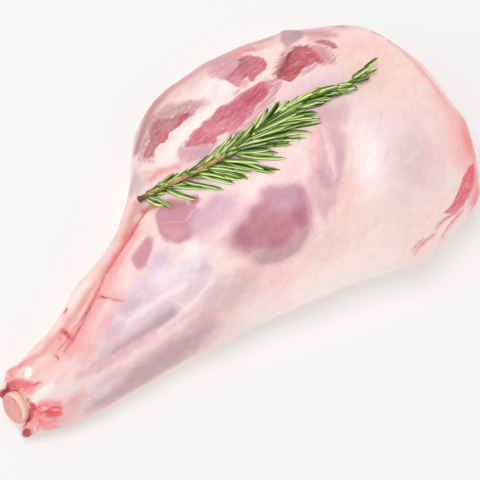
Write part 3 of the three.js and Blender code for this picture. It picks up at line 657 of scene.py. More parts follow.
# Ends of muscle, tendon and fat at the ankle: colour, strength, softness and outline.
ANKLE_PATCHES = {
    "cut muscle": ("#a82a3a", 1.0, 0.9, [(8, 383), (12, 384), (11, 391), (4, 397), (-2, 402), (-2, 392),
        (5, 389)]),
    "cut muscle's edge": ("#d9505e", 0.9, 0.7, [(11, 385), (16, 388), (12, 392), (6, 396), (10, 391)]),
    "red over the strands": ("#ee6f75", 0.8, 2.4, [(12, 381), (20, 379), (31, 382), (36, 385), (26, 388),
        (14, 387)]),
    "pink strands": ("#f7a59f", 0.8, 1.0, [(16, 388), (28, 388), (38, 386), (34, 393), (24, 397),
        (18, 395)]),
    "by the bone": ("#c2404c", 1.0, 1.2, [(26, 398), (30, 401), (35, 406), (36, 409), (32, 413),
        (31, 417), (26, 422), (22, 425), (19, 423), (27, 415), (29, 407)]),
    "torn flesh": ("#f0707a", 0.9, 2.8, [(36, 408), (44, 404), (56, 404), (62, 408), (61, 414), (52, 418),
        (42, 416), (35, 415)]),
    "bright red": ("#e8434f", 0.9, 2.0, [(46, 411), (54, 407), (60, 408), (60, 413), (54, 417),
        (48, 416)]),
    "pale fat over it": ("#ffb9ad", 0.9, 0.8, [(38, 409), (44, 406), (49, 409), (44, 412)]),
    "near lobe": ("#f79c95", 0.9, 1.6, [(38, 418), (48, 417), (57, 420), (54, 427), (44, 430),
        (37, 426)]),
    "lobe by the bone": ("#f8a299", 0.9, 1.1, [(27, 421), (33, 417), (39, 418), (37, 425), (30, 426)]),
    "stub's ring": ("#f0a9a2", 1.0, 0.7, [(20, 427), (26, 424), (33, 427), (35, 435), (31, 440),
        (24, 440), (20, 434)]),
    "stub's end": ("#a8303f", 1.0, 0.8, [(21, 429), (25, 427), (30, 430), (32, 435), (29, 438), (24, 437),
        (21, 433)]),
    "pale tendon": ("#fff3ec", 1.0, 1.3, [(28, 402), (34, 394), (44, 386), (53, 382), (55, 386),
        (46, 395), (39, 401), (33, 404)]),
    "white tendon end": ("#fff6ef", 0.95, 1.0, [(24, 369), (28, 366), (32, 369), (32, 376), (28, 379),
        (24, 376)]),
}
for code, strength, soft, outline in ANKLE_PATCHES.values():
    wash(code, inside(outline, soft, steady) * upward, strength)

# Where flesh is torn into red strands: strength, width and line.
TORN = {
    "strands": (0.7, 2.6, [(12, 386), (20, 388), (30, 387), (38, 384)]),
    "by the bone": (0.6, 2.2, [(28, 400), (34, 407), (32, 415), (24, 424)]),
    "torn flesh": (0.8, 4.0, [(38, 409), (46, 411), (58, 411)]),
    "knob's foot": (0.7, 2.0, [(9, 379), (14, 381)]),
    "near lobe": (0.3, 4, [(38, 421), (50, 422)]),
    "above the ankle": (0.35, 2.5, [(22, 364), (12, 371)]),
    "hock": (0.8, 1.3, [(60, 332), (65, 333), (68, 337)]),
}
torn = np.zeros(len(skin))
for strength, width, line in TORN.values():
    torn = np.maximum(torn, strength * beside(line, width, steady))

# ---- Leg of meat: where the lean is bare ---------------------------------------------------
# The flank's fat is trimmed away in windows down to the red lean, which shows its grain. The
# rump's cut face is lean too, in bundles between seams of fat, inside a rim of fat.

WET_TINT = (0.995, 0.99, 1.0)  # shares of red, green and blue that the wet film lets through
PALEST = 0.98
tint[:] = np.clip(tint * WET_TINT, 0, PALEST)
lean_tint = np.tile(linear("#c9616f")[:3], (len(skin), 1))
LEAN_COLOURS = {
    "knee": "#b77275", "long": "#d87585", "middle": "#cc687c", "deep": "#bd434d", "small": "#ca6f7a",
    "rump strip": "#e66a74",
}

# Patches of other colours on the bare lean: colour, strength, softness, outline.
LEAN_PATCHES = {
    "knee's red tip": ("#ce455a", 1.0, 1.6, [(174, 128), (178, 118), (186, 112), (193, 113), (184, 121),
        (180, 127)]),
    "knee's red foot": ("#cb495b", 1.0, 1.6, [(155, 139), (160, 134), (169, 132), (168, 139),
        (161, 144)]),
    "knee's grey foot": ("#bc7680", 0.9, 2, [(144, 156), (150, 145), (157, 145), (154, 154), (149, 159)]),
    "knee's rose": ("#c88281", 0.8, 2, [(162, 122), (172, 118), (176, 124), (170, 131), (162, 131)]),
    "long strip's head": ("#c85364", 1.0, 4, [(240, 96), (252, 88), (263, 79), (272, 86), (266, 98),
        (256, 104), (244, 108)]),
    "long strip's middle": ("#d05f70", 0.9, 4, [(214, 116), (228, 104), (240, 98), (246, 106), (236, 116),
        (220, 124)]),
    "long strip's pale side": ("#e48a99", 0.8, 3, [(200, 130), (214, 122), (228, 120), (236, 124),
        (226, 130), (208, 136)]),
    "long strip's fold": ("#c25d70", 0.8, 1.6, [(186, 146), (200, 143), (216, 138), (216, 143),
        (200, 146)]),
    "long strip's end": ("#de959e", 0.9, 2, [(266, 82), (278, 84), (276, 90), (268, 92)]),
    "middle's plum": ("#b95a6f", 0.9, 2, [(234, 60), (246, 56), (250, 60), (240, 68), (232, 72)]),
    "middle's pale foot": ("#e2959f", 0.9, 2, [(226, 79), (238, 74), (248, 78), (244, 84), (234, 86)]),
    "middle's red edge": ("#d13f59", 0.9, 1.2, [(261, 58), (266, 60), (268, 66), (264, 66)]),
    "deep's dark edge": ("#8c2936", 1.0, 2, [(275, 74), (279, 64), (285, 55), (292, 48), (293, 54),
        (286, 64), (281, 74)]),
    "deep's bright top": ("#c2545b", 0.8, 3, [(294, 50), (304, 46), (312, 52), (310, 60), (298, 60)]),
    "deep's pale right": ("#ca747e", 0.8, 2, [(306, 64), (316, 58), (324, 62), (314, 64), (304, 70)]),
    "rump strip's head": ("#ee5a64", 1.0, 3, [(466, 168), (474, 163), (477, 172), (474, 184),
        (464, 182)]),
    "rump strip's foot": ("#d77b85", 0.9, 3, [(452, 206), (462, 200), (464, 208), (454, 214),
        (444, 213)]),
}

# Where the lean shows only as streaks between threads of fat: colour and outline.
FRAYED_LEAN = {
    "left of the middle window": ("#cf8795", [(209, 74), (214, 63), (225, 55), (240, 56), (244, 62),
        (238, 72), (229, 81), (219, 80)]),
    "foot of the long strip": ("#d697a6", [(177, 153), (186, 142), (202, 139), (218, 138), (216, 148),
        (202, 158), (184, 161)]),
    "right of the long strip": ("#d98c9a", [(268, 80), (280, 82), (277, 92), (268, 104), (254, 120),
        (241, 131), (226, 136), (240, 122), (256, 104)]),
    "over the knee window": ("#bd8b8c", [(148, 128), (154, 118), (168, 112), (190, 102), (202, 102),
        (196, 112), (184, 119), (162, 124)]),
    "left of the knee window": ("#b07c86", [(139, 160), (143, 146), (149, 134), (155, 146), (152, 162)]),
    "left of the deep window": ("#c8707c", [(273, 76), (277, 64), (284, 53), (287, 60), (280, 74),
        (277, 82)]),
    "right of the deep window": ("#d08e98", [(306, 44), (320, 44), (336, 54), (334, 62), (318, 68),
        (302, 76), (308, 62)]),
}
FRAYED_DEPTH = 0.05  # how near to breaking through the fat this lean lies
FRAYED_EDGE = 0.4  # how steeply it sinks under the fat at its edge

NO_LEAN = -20.0  # depth, in millimetres, where there is none
lean_depth = np.full(len(skin), NO_LEAN)
for name, outline in LEAN_WINDOWS.items():
    depth = np.where(upward > 0.5, depth_in(outline, steady), NO_LEAN)
    wash(LEAN_COLOURS[name], (depth > np.maximum(lean_depth, -6)) * 1.0, 1.0, lean_tint)
    lean_depth = np.maximum(lean_depth, depth)
for code, strength, soft, outline in LEAN_PATCHES.values():
    wash(code, inside(outline, soft) * upward, strength, lean_tint)
for code, outline in FRAYED_LEAN.values():
    depth = np.where(upward > 0.5, np.minimum(depth_in(outline) * FRAYED_EDGE, FRAYED_DEPTH), NO_LEAN)
    wash(code, ramp(depth, -2, FRAYED_DEPTH) * ramp(-lean_depth, -0.5, 1.5), 1.0, lean_tint)
    lean_depth = np.maximum(lean_depth, depth)

RUMP_CUT = 171  # the rump's cut face is past this place along the leg
RUMP_RIM = 5  # thickness of the fat round the cut face
facing_rump = skin_normals[:, 0] * 60 - 44 + 0.6 * (places[:, 0] - RUMP_CUT)
cut_depth = np.minimum(facing_rump, 60 * (0.42 - skin_normals[:, 2])) - RUMP_RIM + 2.5 * lumps(14, 41.0)
seams = np.abs(lumps(34, 12.6, (1, 1, 1.2)))
cut_depth = np.minimum(cut_depth, seams * 34 - 1.6)
cut_depth = np.where(places[:, 0] > RUMP_CUT - 12, cut_depth, NO_LEAN)
on_cut = (cut_depth > lean_depth) & (cut_depth > -6)
wash("#c4606c", on_cut * 1.0, 1.0, lean_tint)
wash("#a9404e", on_cut * ramp(lumps(22, 3.4), -0.2, 0.5), 0.8, lean_tint)
lean_depth = np.maximum(lean_depth, cut_depth)

FLANK_GRAIN = ((190, 150), (262, 92))  # pixels that the grain of the windows runs between
along_grain = in_plan(FLANK_GRAIN[1]) - in_plan(FLANK_GRAIN[0])
along_grain /= np.hypot(*along_grain)
grain = np.column_stack((plan @ along_grain, plan @ (-along_grain[1], along_grain[0]), places[:, 2]))
grain = np.where(on_cut[:, None], places[:, [0, 2, 1]], grain)
FAR_OFF = 20.0  # millimetres, for a place with no line near it


def off_lines(lines, least_up):
    """Distance from the edge of the nearest line, which is thinner towards its ends."""
    nearest = np.full(len(skin), FAR_OFF)
    for half_width, line in lines.values():
        away, share = off_route(curved(line), steady)
        nearest = np.minimum(nearest, away - half_width * (0.35 + 0.65 * np.sqrt(4 * share * (1 - share))))
    return np.where(upward > least_up, nearest, FAR_OFF)


blood_away = off_lines(BLOOD_LINES, 0.1)
sinew_away = off_lines(SINEWS, 0.3)
fibre_away = off_lines(FIBRES, 0.3)

# ---- Leg of meat: relief -------------------------------------------------------------------
# The lean lies lower than the fat round it and shows its grain, the groove and the creases are
# sharp, and the rest of the skin is a little lumpy, with wrinkles where the membrane is loose.

# How deep each groove is, and how wide, in millimetres.
GROOVES = {
    "groove": (1.4, 1.5), "groove foot": (1.3, 1.1), "branch": (0.6, 1.0), "first crease": (1.6, 1.3),
    "second crease": (1.2, 1.1), "rump's dark edge": (1.3, 1.6), "second groove": (0.6, 0.8),
    "third groove": (0.5, 0.8),
}
# Rises and falls of the skin, in millimetres.
WINDOW_FALL = 0.7
FAT_RISE = 0.35  # of the fat round a window
GRAIN_RISE = 0.25
SINEW_RISE = 0.15
FIBRE_RISE = 0.2
FLAP_RISE = 1.3
RUMP_FALL = 4.5  # its near edge is cut straight
RUMP_FALL_AT = (466, 222)

window_floor = ramp(lean_depth, -0.6, 1.2)
rim_of_fat = ramp(lean_depth, -4, -0.5) * (1 - ramp(lean_depth, -0.5, 0.3))
relief = FAT_RISE * rim_of_fat - WINDOW_FALL * window_floor
relief += GRAIN_RISE * window_floor * lumps(2.6, 5.5, (0.3, 1.2, 1), grain)
grooves = [(depth, width, BLOOD_LINES[name][1]) for name, (depth, width) in GROOVES.items()]
for depth, width, line in grooves + list(ANKLE_CUTS.values()):
    away, share = off_route(curved(line), steady)
    relief -= depth * np.exp(-((away / width) ** 2)) * np.sqrt(np.sin(math.pi * share)) * upward
relief += SINEW_RISE * ramp(-sinew_away, -1.0, 0.1) + FIBRE_RISE * ramp(-fibre_away, -0.8, 0.1)
relief += FLAP_RISE * ramp(depth_in(THROUGH_MEMBRANE["flap"][3], steady), -0.4, 0.8) * upward
loose = 1 - window_floor
relief += loose * (0.6 * lumps(17, 1.2) + 0.25 * lumps(6.5, 8.4) + 0.1 * lumps(3, 4.4))
past_ankle = ramp(-places[:, 0], 148, 160)
relief += past_ankle * (0.8 * lumps(3.4, 6.1, (0.6, 1.3, 1)) + 0.35 * lumps(1.5, 9.3))
relief -= RUMP_FALL * round_about(RUMP_FALL_AT, 30, 10, 20, plan)
relief *= ramp(places[:, 2], 1.5, 7)  # none where the meat rests

skin = skin + skin_normals * relief[:, None] * MM
lowest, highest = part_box("leg_meat")
skin = np.clip(skin, lowest, highest)
meat.data.vertices.foreach_set("co", skin.ravel())
meat.data.update()


def note(name, kind, values):
    """Keeps a value for each corner of the meat, for its finish to read."""
    key = {"FLOAT": "value", "FLOAT_VECTOR": "vector", "FLOAT_COLOR": "color"}[kind]
    meat.data.attributes.new(name, kind, "POINT").data.foreach_set(key, values.ravel().astype(np.float32))


note("lean_depth", "FLOAT", lean_depth)
note("blood_away", "FLOAT", blood_away)
note("sinew_away", "FLOAT", sinew_away)
note("fibre_away", "FLOAT", fibre_away)
note("torn", "FLOAT", torn)
note("grain", "FLOAT_VECTOR", grain)
opaque = np.ones(len(skin))
note("tint", "FLOAT_COLOR", np.column_stack((tint, opaque)))
note("lean_tint", "FLOAT_COLOR", np.column_stack((lean_tint, opaque)))
for face in meat.data.polygons:
    face.use_smooth = True

# ---- Leg of meat: its finish ---------------------------------------------------------------
# Raw meat is wet and a little see-through. The lean has a coarse grain with thin pale marbling,
# the membrane has faint streaks and flecks of fat, and both have a thin film of moisture.


def wet_grain_group():
    """The fine wet grain that meat, bone and rosemary share: its value, roughness and normal."""
    group = bpy.data.node_groups.new("wet_grain", "ShaderNodeTree")
    for name in ("Size", "Depth", "Relief", "Wet", "Dry"):
        group.interface.new_socket(name, in_out="INPUT", socket_type="NodeSocketFloat")
    group.interface.new_socket("Grain", in_out="OUTPUT", socket_type="NodeSocketFloat")
    group.interface.new_socket("Roughness", in_out="OUTPUT", socket_type="NodeSocketFloat")
    group.interface.new_socket("Normal", in_out="OUTPUT", socket_type="NodeSocketVector")
    nodes, links = group.nodes, group.links
    given, result = nodes.new("NodeGroupInput"), nodes.new("NodeGroupOutput")
    place = nodes.new("ShaderNodeTexCoord")
    finer = nodes.new("ShaderNodeMath")
    finer.operation = "DIVIDE"
    finer.inputs[0].default_value = 1
    links.new(given.outputs["Size"], finer.inputs[1])
    grain = nodes.new("ShaderNodeTexNoise")
    grain.inputs["Detail"].default_value = 3
    grain.inputs["Roughness"].default_value = 0.6
    links.new(place.outputs["Object"], grain.inputs["Vector"])
    links.new(finer.outputs[0], grain.inputs["Scale"])
    height = nodes.new("ShaderNodeMath")
    height.operation = "ADD"
    links.new(grain.outputs["Fac"], height.inputs[0])
    links.new(given.outputs["Relief"], height.inputs[1])
    bump = nodes.new("ShaderNodeBump")
    links.new(height.outputs[0], bump.inputs["Height"])
    links.new(given.outputs["Depth"], bump.inputs["Distance"])
    gloss = nodes.new("ShaderNodeMapRange")
    gloss.inputs["From Min"].default_value = 0.3
    gloss.inputs["From Max"].default_value = 0.7
    links.new(grain.outputs["Fac"], gloss.inputs["Value"])
    links.new(given.outputs["Wet"], gloss.inputs["To Min"])
    links.new(given.outputs["Dry"], gloss.inputs["To Max"])
    links.new(grain.outputs["Fac"], result.inputs["Grain"])
    links.new(gloss.outputs["Result"], result.inputs["Roughness"])
    links.new(bump.outputs["Normal"], result.inputs["Normal"])
    return group


WET_GRAIN = wet_grain_group()


class Finish:
    """A material being made, with short calls for the nodes that the finishes use."""

    def __init__(self, name):
        self.material = bpy.data.materials.new(name)
        self.material.use_nodes = True
        self.tree = self.material.node_tree
        self.shader = self.tree.nodes["Principled BSDF"]
        self.place = self.node("ShaderNodeTexCoord").outputs["Object"]

    def node(self, kind, **settings):
        made = self.tree.nodes.new(kind)
        for key, value in settings.items():
            setattr(made, key, value)
        return made

    def join(self, source, target):
        if hasattr(source, "node"):
            self.tree.links.new(source, target)
        else:
            target.default_value = source

    def field(self, name, output="Fac"):
        return self.node("ShaderNodeAttribute", attribute_name=name).outputs[output]

    def math(self, operation, first, second):
        made = self.node("ShaderNodeMath", operation=operation)
        self.join(first, made.inputs[0])
        self.join(second, made.inputs[1])
        return made.outputs[0]

    def vector(self, operation, first, second=(0, 0, 0), output="Value"):
        made = self.node("ShaderNodeVectorMath", operation=operation)
        self.join(first, made.inputs[0])
        self.join(second, made.inputs[1])
        return made.outputs[output]

    def along_leg(self):
        """The place along the leg, in metres."""
        split = self.node("ShaderNodeSeparateXYZ")
        self.join(self.place, split.inputs[0])
        return split.outputs["X"]

    def spread(self, value, low, high, to_low=0.0, to_high=1.0):
        made = self.node("ShaderNodeMapRange", interpolation_type="SMOOTHSTEP")
        self.join(value, made.inputs["Value"])
        for key, number in {"From Min": low, "From Max": high, "To Min": to_low, "To Max": to_high}.items():
            made.inputs[key].default_value = number
        return made.outputs["Result"]

    def mix(self, amount, first, second):
        made = self.node("ShaderNodeMix", data_type="RGBA")
        self.join(amount, made.inputs["Factor"])
        self.join(first, made.inputs[6])
        self.join(second, made.inputs[7])
        return made.outputs[2]

    def stain(self, colour, shade, value, low, high, most=1.0):
        """Mixes in a shade where the value goes from low to high, there by the share given."""
        return self.mix(self.spread(value, low, high, 0, most), colour, linear(shade))

    def lumps(self, size, detail=2.0, rough=0.5, stretch=(1, 1, 1), turn=0.0, offset=0.0, where=None):
        """Noise with lumps of the given size, drawn out by stretch along a line turned from +X."""
        mapping = self.node("ShaderNodeMapping", vector_type="TEXTURE")
        mapping.inputs["Location"].default_value = (offset, offset, offset)
        mapping.inputs["Rotation"].default_value = (0, 0, math.radians(turn))
        mapping.inputs["Scale"].default_value = tuple(size * s for s in stretch)
        self.join(self.place if where is None else where, mapping.inputs["Vector"])
        made = self.node("ShaderNodeTexNoise")
        made.inputs["Scale"].default_value = 1.0
        made.inputs["Detail"].default_value = detail
        made.inputs["Roughness"].default_value = rough
        self.join(mapping.outputs["Vector"], made.inputs["Vector"])
        return made.outputs["Fac"]

    def wet_grain(self, size, depth, wet, dry):
        """The shared grain, joined to the shader; gives its value and the socket for more relief."""
        made = self.node("ShaderNodeGroup", node_tree=WET_GRAIN)
        for key, number in {"Size": size, "Depth": depth, "Wet": wet, "Dry": dry}.items():
            made.inputs[key].default_value = number
        self.join(made.outputs["Roughness"], self.shader.inputs["Roughness"])
        self.join(made.outputs["Normal"], self.shader.inputs["Normal"])
        return made.outputs["Grain"], made.inputs["Relief"]

    def set(self, **values):
        for key, value in values.items():
            self.shader.inputs[key.replace("_", " ")].default_value = value


def meat_finish():
    made = Finish("raw_meat")
    fine, relief = made.wet_grain(2.2 * MM, 0.25 * MM, 0.4, 0.56)
    broad = made.lumps(15 * MM, 2, 0.5, offset=0.4)
    on_thigh = made.spread(made.along_leg(), -45 * MM, 15 * MM)
    shank_streaks = made.lumps(3 * MM, 3, 0.6, (7, 1, 1), 8)
    thigh_streaks = made.lumps(3 * MM, 3, 0.6, (6, 1, 1), TOP_VIEW_TURN - 8)
    streaks = made.node("ShaderNodeMix")
    for value, socket in zip((on_thigh, shank_streaks, thigh_streaks), ("Factor", "A", "B")):
        made.join(value, streaks.inputs[socket])
    streaks = streaks.outputs["Result"]
    patches = made.lumps(8 * MM, 4, 0.62, (1.8, 1, 1), 20, offset=0.7)
    fibres = made.lumps(1.1, 3, 0.6, (14, 1, 1), where=made.field("grain", "Vector"))
    tones = made.lumps(5, 2, 0.5, (2.5, 1, 1), offset=3, where=made.field("grain", "Vector"))
    specks = made.lumps(1.5, 1, 0.5, (2, 1, 1), offset=9, where=made.field("grain", "Vector"))

    colour = made.field("tint", "Color")
    parts = made.node("ShaderNodeSeparateColor")
    made.join(colour, parts.inputs[0])
    pale = made.mix(made.spread(parts.outputs["Green"], 0.2, 0.65, 0.08, 0.45), colour, (1, 1, 1, 1))
    flushed = made.mix(0.5, colour, linear("#f7a8a0"))
    colour = made.mix(made.spread(broad, 0.48, 0.8, 0, 0.3), colour, flushed)
    colour = made.mix(made.spread(streaks, 0.52, 0.74, 0, 0.35), colour, pale)
    colour = made.mix(made.spread(patches, 0.53, 0.57, 0, 0.26), colour, pale)  # doubled membrane
    colour = made.mix(made.spread(patches, 0.44, 0.40, 0, 0.16), colour, flushed)
    colour = made.stain(colour, "#c08788", streaks, 0.46, 0.25, 0.12)
    colour = made.stain(colour, "#d79a9c", fine, 0.42, 0.25, 0.1)
    patchy = made.spread(broad, 0.4, 0.6, 0.08, 0.38)
    sinew = made.spread(made.field("sinew_away"), 0.5, -0.25)
    colour = made.mix(made.math("MULTIPLY", sinew, patchy), colour, linear("#fff4f2"))

    ragged = made.math("ADD", made.field("lean_depth"), made.spread(fibres, 0.3, 0.7, -0.7, 0.7))
    bare = made.spread(ragged, -0.5, 0.4)
    lean = made.field("lean_tint", "Color")
    lean = made.stain(lean, "#e08c9b", tones, 0.45, 0.7, 0.22)
    lean = made.stain(lean, "#96303f", tones, 0.45, 0.25, 0.3)
    lean = made.stain(lean, "#f3b2bb", fibres, 0.53, 0.64, 0.42)
    lean = made.stain(lean, "#8f2c3b", fibres, 0.47, 0.34, 0.36)
    lean = made.stain(lean, "#f3c0c2", specks, 0.62, 0.7, 0.25)
    thread = made.spread(made.field("fibre_away"), 0.4, -0.25)
    thread = made.math("MULTIPLY", thread, made.spread(fine, 0.3, 0.55))
    lean = made.mix(made.math("MULTIPLY", thread, 0.4), lean, linear("#f3c6ca"))
    film = made.spread(ragged, 0.0, 1.3, 0.35, 0.0)  # membrane that still clings near the edge
    lean = made.mix(film, lean, linear("#efb4b9"))
    colour = made.mix(bare, colour, lean)
    bleeding = made.math("ADD", made.field("blood_away"), made.spread(fine, 0.3, 0.7, -0.25, 0.25))
    colour = made.stain(colour, "#e9807c", bleeding, 2.0, -0.2, 0.4)
    clotted = made.spread(bleeding, 0.25, -0.5)
    clotted = made.math("MULTIPLY", clotted, made.spread(streaks, 0.35, 0.6, 0.45, 0.9))
    colour = made.mix(clotted, colour, linear("#c43c49"))

    torn = made.field("torn")
    strands = made.lumps(2.6 * MM, 2, 0.5, (2.5, 1, 1), -25)
    # The pale pink on the raised strands is partly pale tissue and partly a painted highlight on their tops.
    for low, high, shade in ((0.6, 0.45, "#f04a58"), (0.4, 0.3, "#a02436"), (0.56, 0.66, "#ffc3b8")):
        strand = made.math("MULTIPLY", torn, made.spread(strands, low, high, 0, 0.8))
        colour = made.mix(strand, colour, linear(shade))
    made.join(colour, made.shader.inputs["Base Color"])

    height = made.math("MULTIPLY", made.math("MULTIPLY", fibres, bare), 1.6)
    height = made.math("ADD", height, made.math("MULTIPLY", streaks, 0.8))
    height = made.math("ADD", height, made.math("MULTIPLY", made.spread(patches, 0.53, 0.57), 0.5))
    frayed = made.math("MULTIPLY", made.math("MULTIPLY", strands, torn), 4)
    made.join(made.math("ADD", height, frayed), relief)
    made.set(Subsurface_Weight=0.25, Subsurface_Scale=3 * MM, Coat_Weight=0.3, Coat_Roughness=0.27)
    made.set(Subsurface_Radius=(1.0, 0.5, 0.4))
    return made.material


meat.data.materials.clear()
meat.data.materials.append(meat_finish())
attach(meat, "root")
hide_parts("leg_meat")

# ---- Shank bone ----------------------------------------------------------------------------
# The shin bone is sawn off at the ankle. Its flared head has a rounded rim of cartilage and a
# slightly hollow, blood-stained face; its shaft runs inside the meat up to the knee.

HEAD_AT = at_height((13, 409), 19)
HEAD_TILT = math.radians(35)  # how far the face looks up from -X
HEAD_TURN = math.radians(8)  # how far it is turned to the near side
HEAD_RADIUS = 11.5 * MM
HEAD_DEPTH = 10 * MM
SHAFT_START = 0.7  # share of the head's depth at which the shaft begins
RIM_RISE = 0.7 * MM
SHAFT_RADIUS = 6.2 * MM
SHAFT_END = Vector((-38, -30, 27)) * MM
BONE_STEPS = 60
BONE_SIDES = 56


def eased(value, low, high):
    share = min(max((value - low) / (high - low), 0), 1)
    return share * share * (3 - 2 * share)


def unrolled(corner):
    """A grid corner's share of the tube's length and its turn. The last row closes on the first."""
    share, turn = corner.co.x + 0.5, corner.co.y + 0.5
    return share, 2 * math.pi * (0 if turn > 1 - 1e-4 else turn)


def rolled(shape, steps, sides, put):
    """Rolls a grid into a closed tube: put gives the place at a share of its length and a turn."""
    made = bmesh.ops.create_grid(shape, x_segments=steps, y_segments=sides, size=0.5)["verts"]
    for corner in made:
        corner.co = put(*unrolled(corner))
    bmesh.ops.remove_doubles(shape, verts=made, dist=SAME_PLACE)


def kept(shape, name):
    """The finished mesh of a shape, as an object of that name, smooth and facing outwards."""
    bmesh.ops.recalc_face_normals(shape, faces=shape.faces)
    for face in shape.faces:
        face.smooth = True
    mesh = bpy.data.meshes.new(name)
    shape.to_mesh(mesh)
    shape.free()
    return linked(name, mesh)


inward = Matrix.Rotation(HEAD_TURN, 3, "Z") @ Vector((math.cos(HEAD_TILT), 0, -math.sin(HEAD_TILT)))
face_wide = Vector((-math.sin(HEAD_TURN), math.cos(HEAD_TURN), 0))
face_high = inward.cross(face_wide)
RIM_SIDE = math.radians(107)  # turn, from the flank side over the top, where the rim is thickest
to_rim = face_wide * math.cos(RIM_SIDE) + face_high * math.sin(RIM_SIDE)
shaft_start = HEAD_AT + inward * HEAD_DEPTH * SHAFT_START

# The bone's profile from the middle of its face: how far in from the face, and its radius.
BONE_PROFILE = [
    (0.0, RIM_RISE * 0.6, 0.0), (0.10, RIM_RISE * 0.8, 0.4 * HEAD_RADIUS),
    (0.2, RIM_RISE, 0.72 * HEAD_RADIUS), (0.26, RIM_RISE * 0.3, 0.85 * HEAD_RADIUS),
    (0.31, 0, 0.91 * HEAD_RADIUS), (0.37, 0.9 * MM, 0.98 * HEAD_RADIUS), (0.43, 2.8 * MM, HEAD_RADIUS),
    (0.52, 6 * MM, 0.95 * HEAD_RADIUS), (0.6, HEAD_DEPTH, SHAFT_RADIUS + 1.6 * MM),
    (0.7, 20 * MM, SHAFT_RADIUS), (0.98, 150 * MM, SHAFT_RADIUS * 0.8), (1.0, 154 * MM, 0.0),
]


def bone_place(share, turn):
    i = next(i for i in range(len(BONE_PROFILE) - 1) if share <= BONE_PROFILE[i + 1][0] + 1e-6)
    (t0, in0, r0), (t1, in1, r1) = BONE_PROFILE[i:i + 2]
    mix = (share - t0) / (t1 - t0)
    into, radius = in0 + (in1 - in0) * mix, r0 + (r1 - r0) * mix
    shaft = SHAFT_END - shaft_start
    middle = HEAD_AT + inward * min(into, HEAD_DEPTH)
    if into > HEAD_DEPTH:
        past = min((into - HEAD_DEPTH) / shaft.length, 1)
        middle = shaft_start + inward * HEAD_DEPTH * (1 - SHAFT_START) * (1 - past) + shaft * past
    place = middle + (face_wide * math.cos(turn) + face_high * math.sin(turn)) * radius
    rough = noise_at(place, 3.2 * MM, 2.0) * 0.35 * MM + noise_at(place, 8 * MM, 5.0) * 0.5 * MM
    outwards = inward * (0.6 if share < 0.25 else 0.1) + (place - middle) * 40
    return place + outwards * rough * min(radius / MM, 1)


shape = bmesh.new()
rolled(shape, BONE_STEPS, BONE_SIDES, bone_place)
bone = kept(shape, "shin_bone")


def bone_finish():
    made = Finish("shank_bone")
    from_face = made.vector("SUBTRACT", made.place, HEAD_AT - to_rim * 2 * MM, "Vector")
    depth = made.vector("DOT_PRODUCT", from_face, inward)
    away = made.vector("LENGTH", from_face)
    toward_rim = made.vector("DOT_PRODUCT", from_face, to_rim)
    fine = made.wet_grain(1.1 * MM, 0.4 * MM, 0.35, 0.55)[0]
    blotches = made.lumps(4 * MM, 2, 0.6, offset=0.2)
    colour = made.mix(made.spread(blotches, 0.4, 0.65), linear("#eda79c"), linear("#e19389"))
    colour = made.stain(colour, "#f6c6b6", fine, 0.58, 0.7, 0.7)
    wavy = made.math("ADD", away, made.math("MULTIPLY", made.math("SUBTRACT", blotches, 0.5), 3 * MM))
    crease_side = made.spread(toward_rim, 0, 6 * MM, 0.05, 0.9)
    crease = made.math("MULTIPLY", made.spread(wavy, 8.6 * MM, 9.3 * MM), crease_side)
    colour = made.mix(crease, colour, linear("#c4636a"))
    rim = made.mix(made.spread(toward_rim, 2 * MM, 10 * MM), linear("#efa59b"), linear("#fbd3bd"))
    colour = made.mix(made.spread(wavy, 9.3 * MM, 10 * MM), colour, rim)
    colour = made.stain(colour, "#d9645f", depth, 5.0 * MM, 7.5 * MM)
    made.join(colour, made.shader.inputs["Base Color"])
    made.set(Subsurface_Weight=0.2, Subsurface_Scale=2 * MM, Coat_Weight=0.25, Coat_Roughness=0.2)
    return made.material


bone.data.materials.append(bone_finish())
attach(bone, "root")
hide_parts("shank_bone")

# ---- Rosemary: stem ------------------------------------------------------------------------
# A sprig of rosemary lies over the thigh. Its stem is woody and tan, thicker and brown at the
# cut foot, and thin and green at the tip.

STEM_ROUTE = [(-37, 35.5), (-28, 32.5), (-16, 29), (-3, 25.6), (10, 23.2), (25, 21), (38, 20.4), (49, 21.4),
              (61, 22.6), (74, 23.8), (86, 24), (100, 21.8), (113, 18), (121, 17.2), (128, 17.9), (138, 19.8)]
STEM_LIFT = 3.4  # height of its middle over the meat, in millimetres
STEM_RADII = (1.8, 0.7)
FINE_STEPS = 200  # steps of the smooth route that its length is measured along
STEM_STEPS = 120
STEM_SIDES = 10
DROP_FROM = 200 * MM

meat_skin = BVHTree.FromPolygons(
    [Vector(corner) for corner in skin], [face.vertices[:] for face in meat.data.polygons]
)


def height_over_floor(x, y):
    """Height of the meat's top under a place in millimetres."""
    hit = meat_skin.ray_cast(Vector((x * MM, y * MM, DROP_FROM)), Vector((0, 0, -1)))[0]
    return hit.z / MM if hit else 0.0


stem_points = [Vector((x, y, height_over_floor(x, y) + STEM_LIFT)) for x, y in STEM_ROUTE]
fine_stem = [smooth_route(stem_points, i / FINE_STEPS) for i in range(FINE_STEPS + 1)]
walked = [0.0]
for start, end in zip(fine_stem, fine_stem[1:]):
    walked.append(walked[-1] + (end - start).length)


def stem_at(share):
    """The stem's middle at a share of its length."""
    gone = share * walked[-1]
    return Vector([float(np.interp(gone, walked, [point[axis] for point in fine_stem])) for axis in range(3)])


def stem_ahead(share):
    return (stem_at(min(share + 0.01, 1)) - stem_at(max(share - 0.01, 0))).normalized()


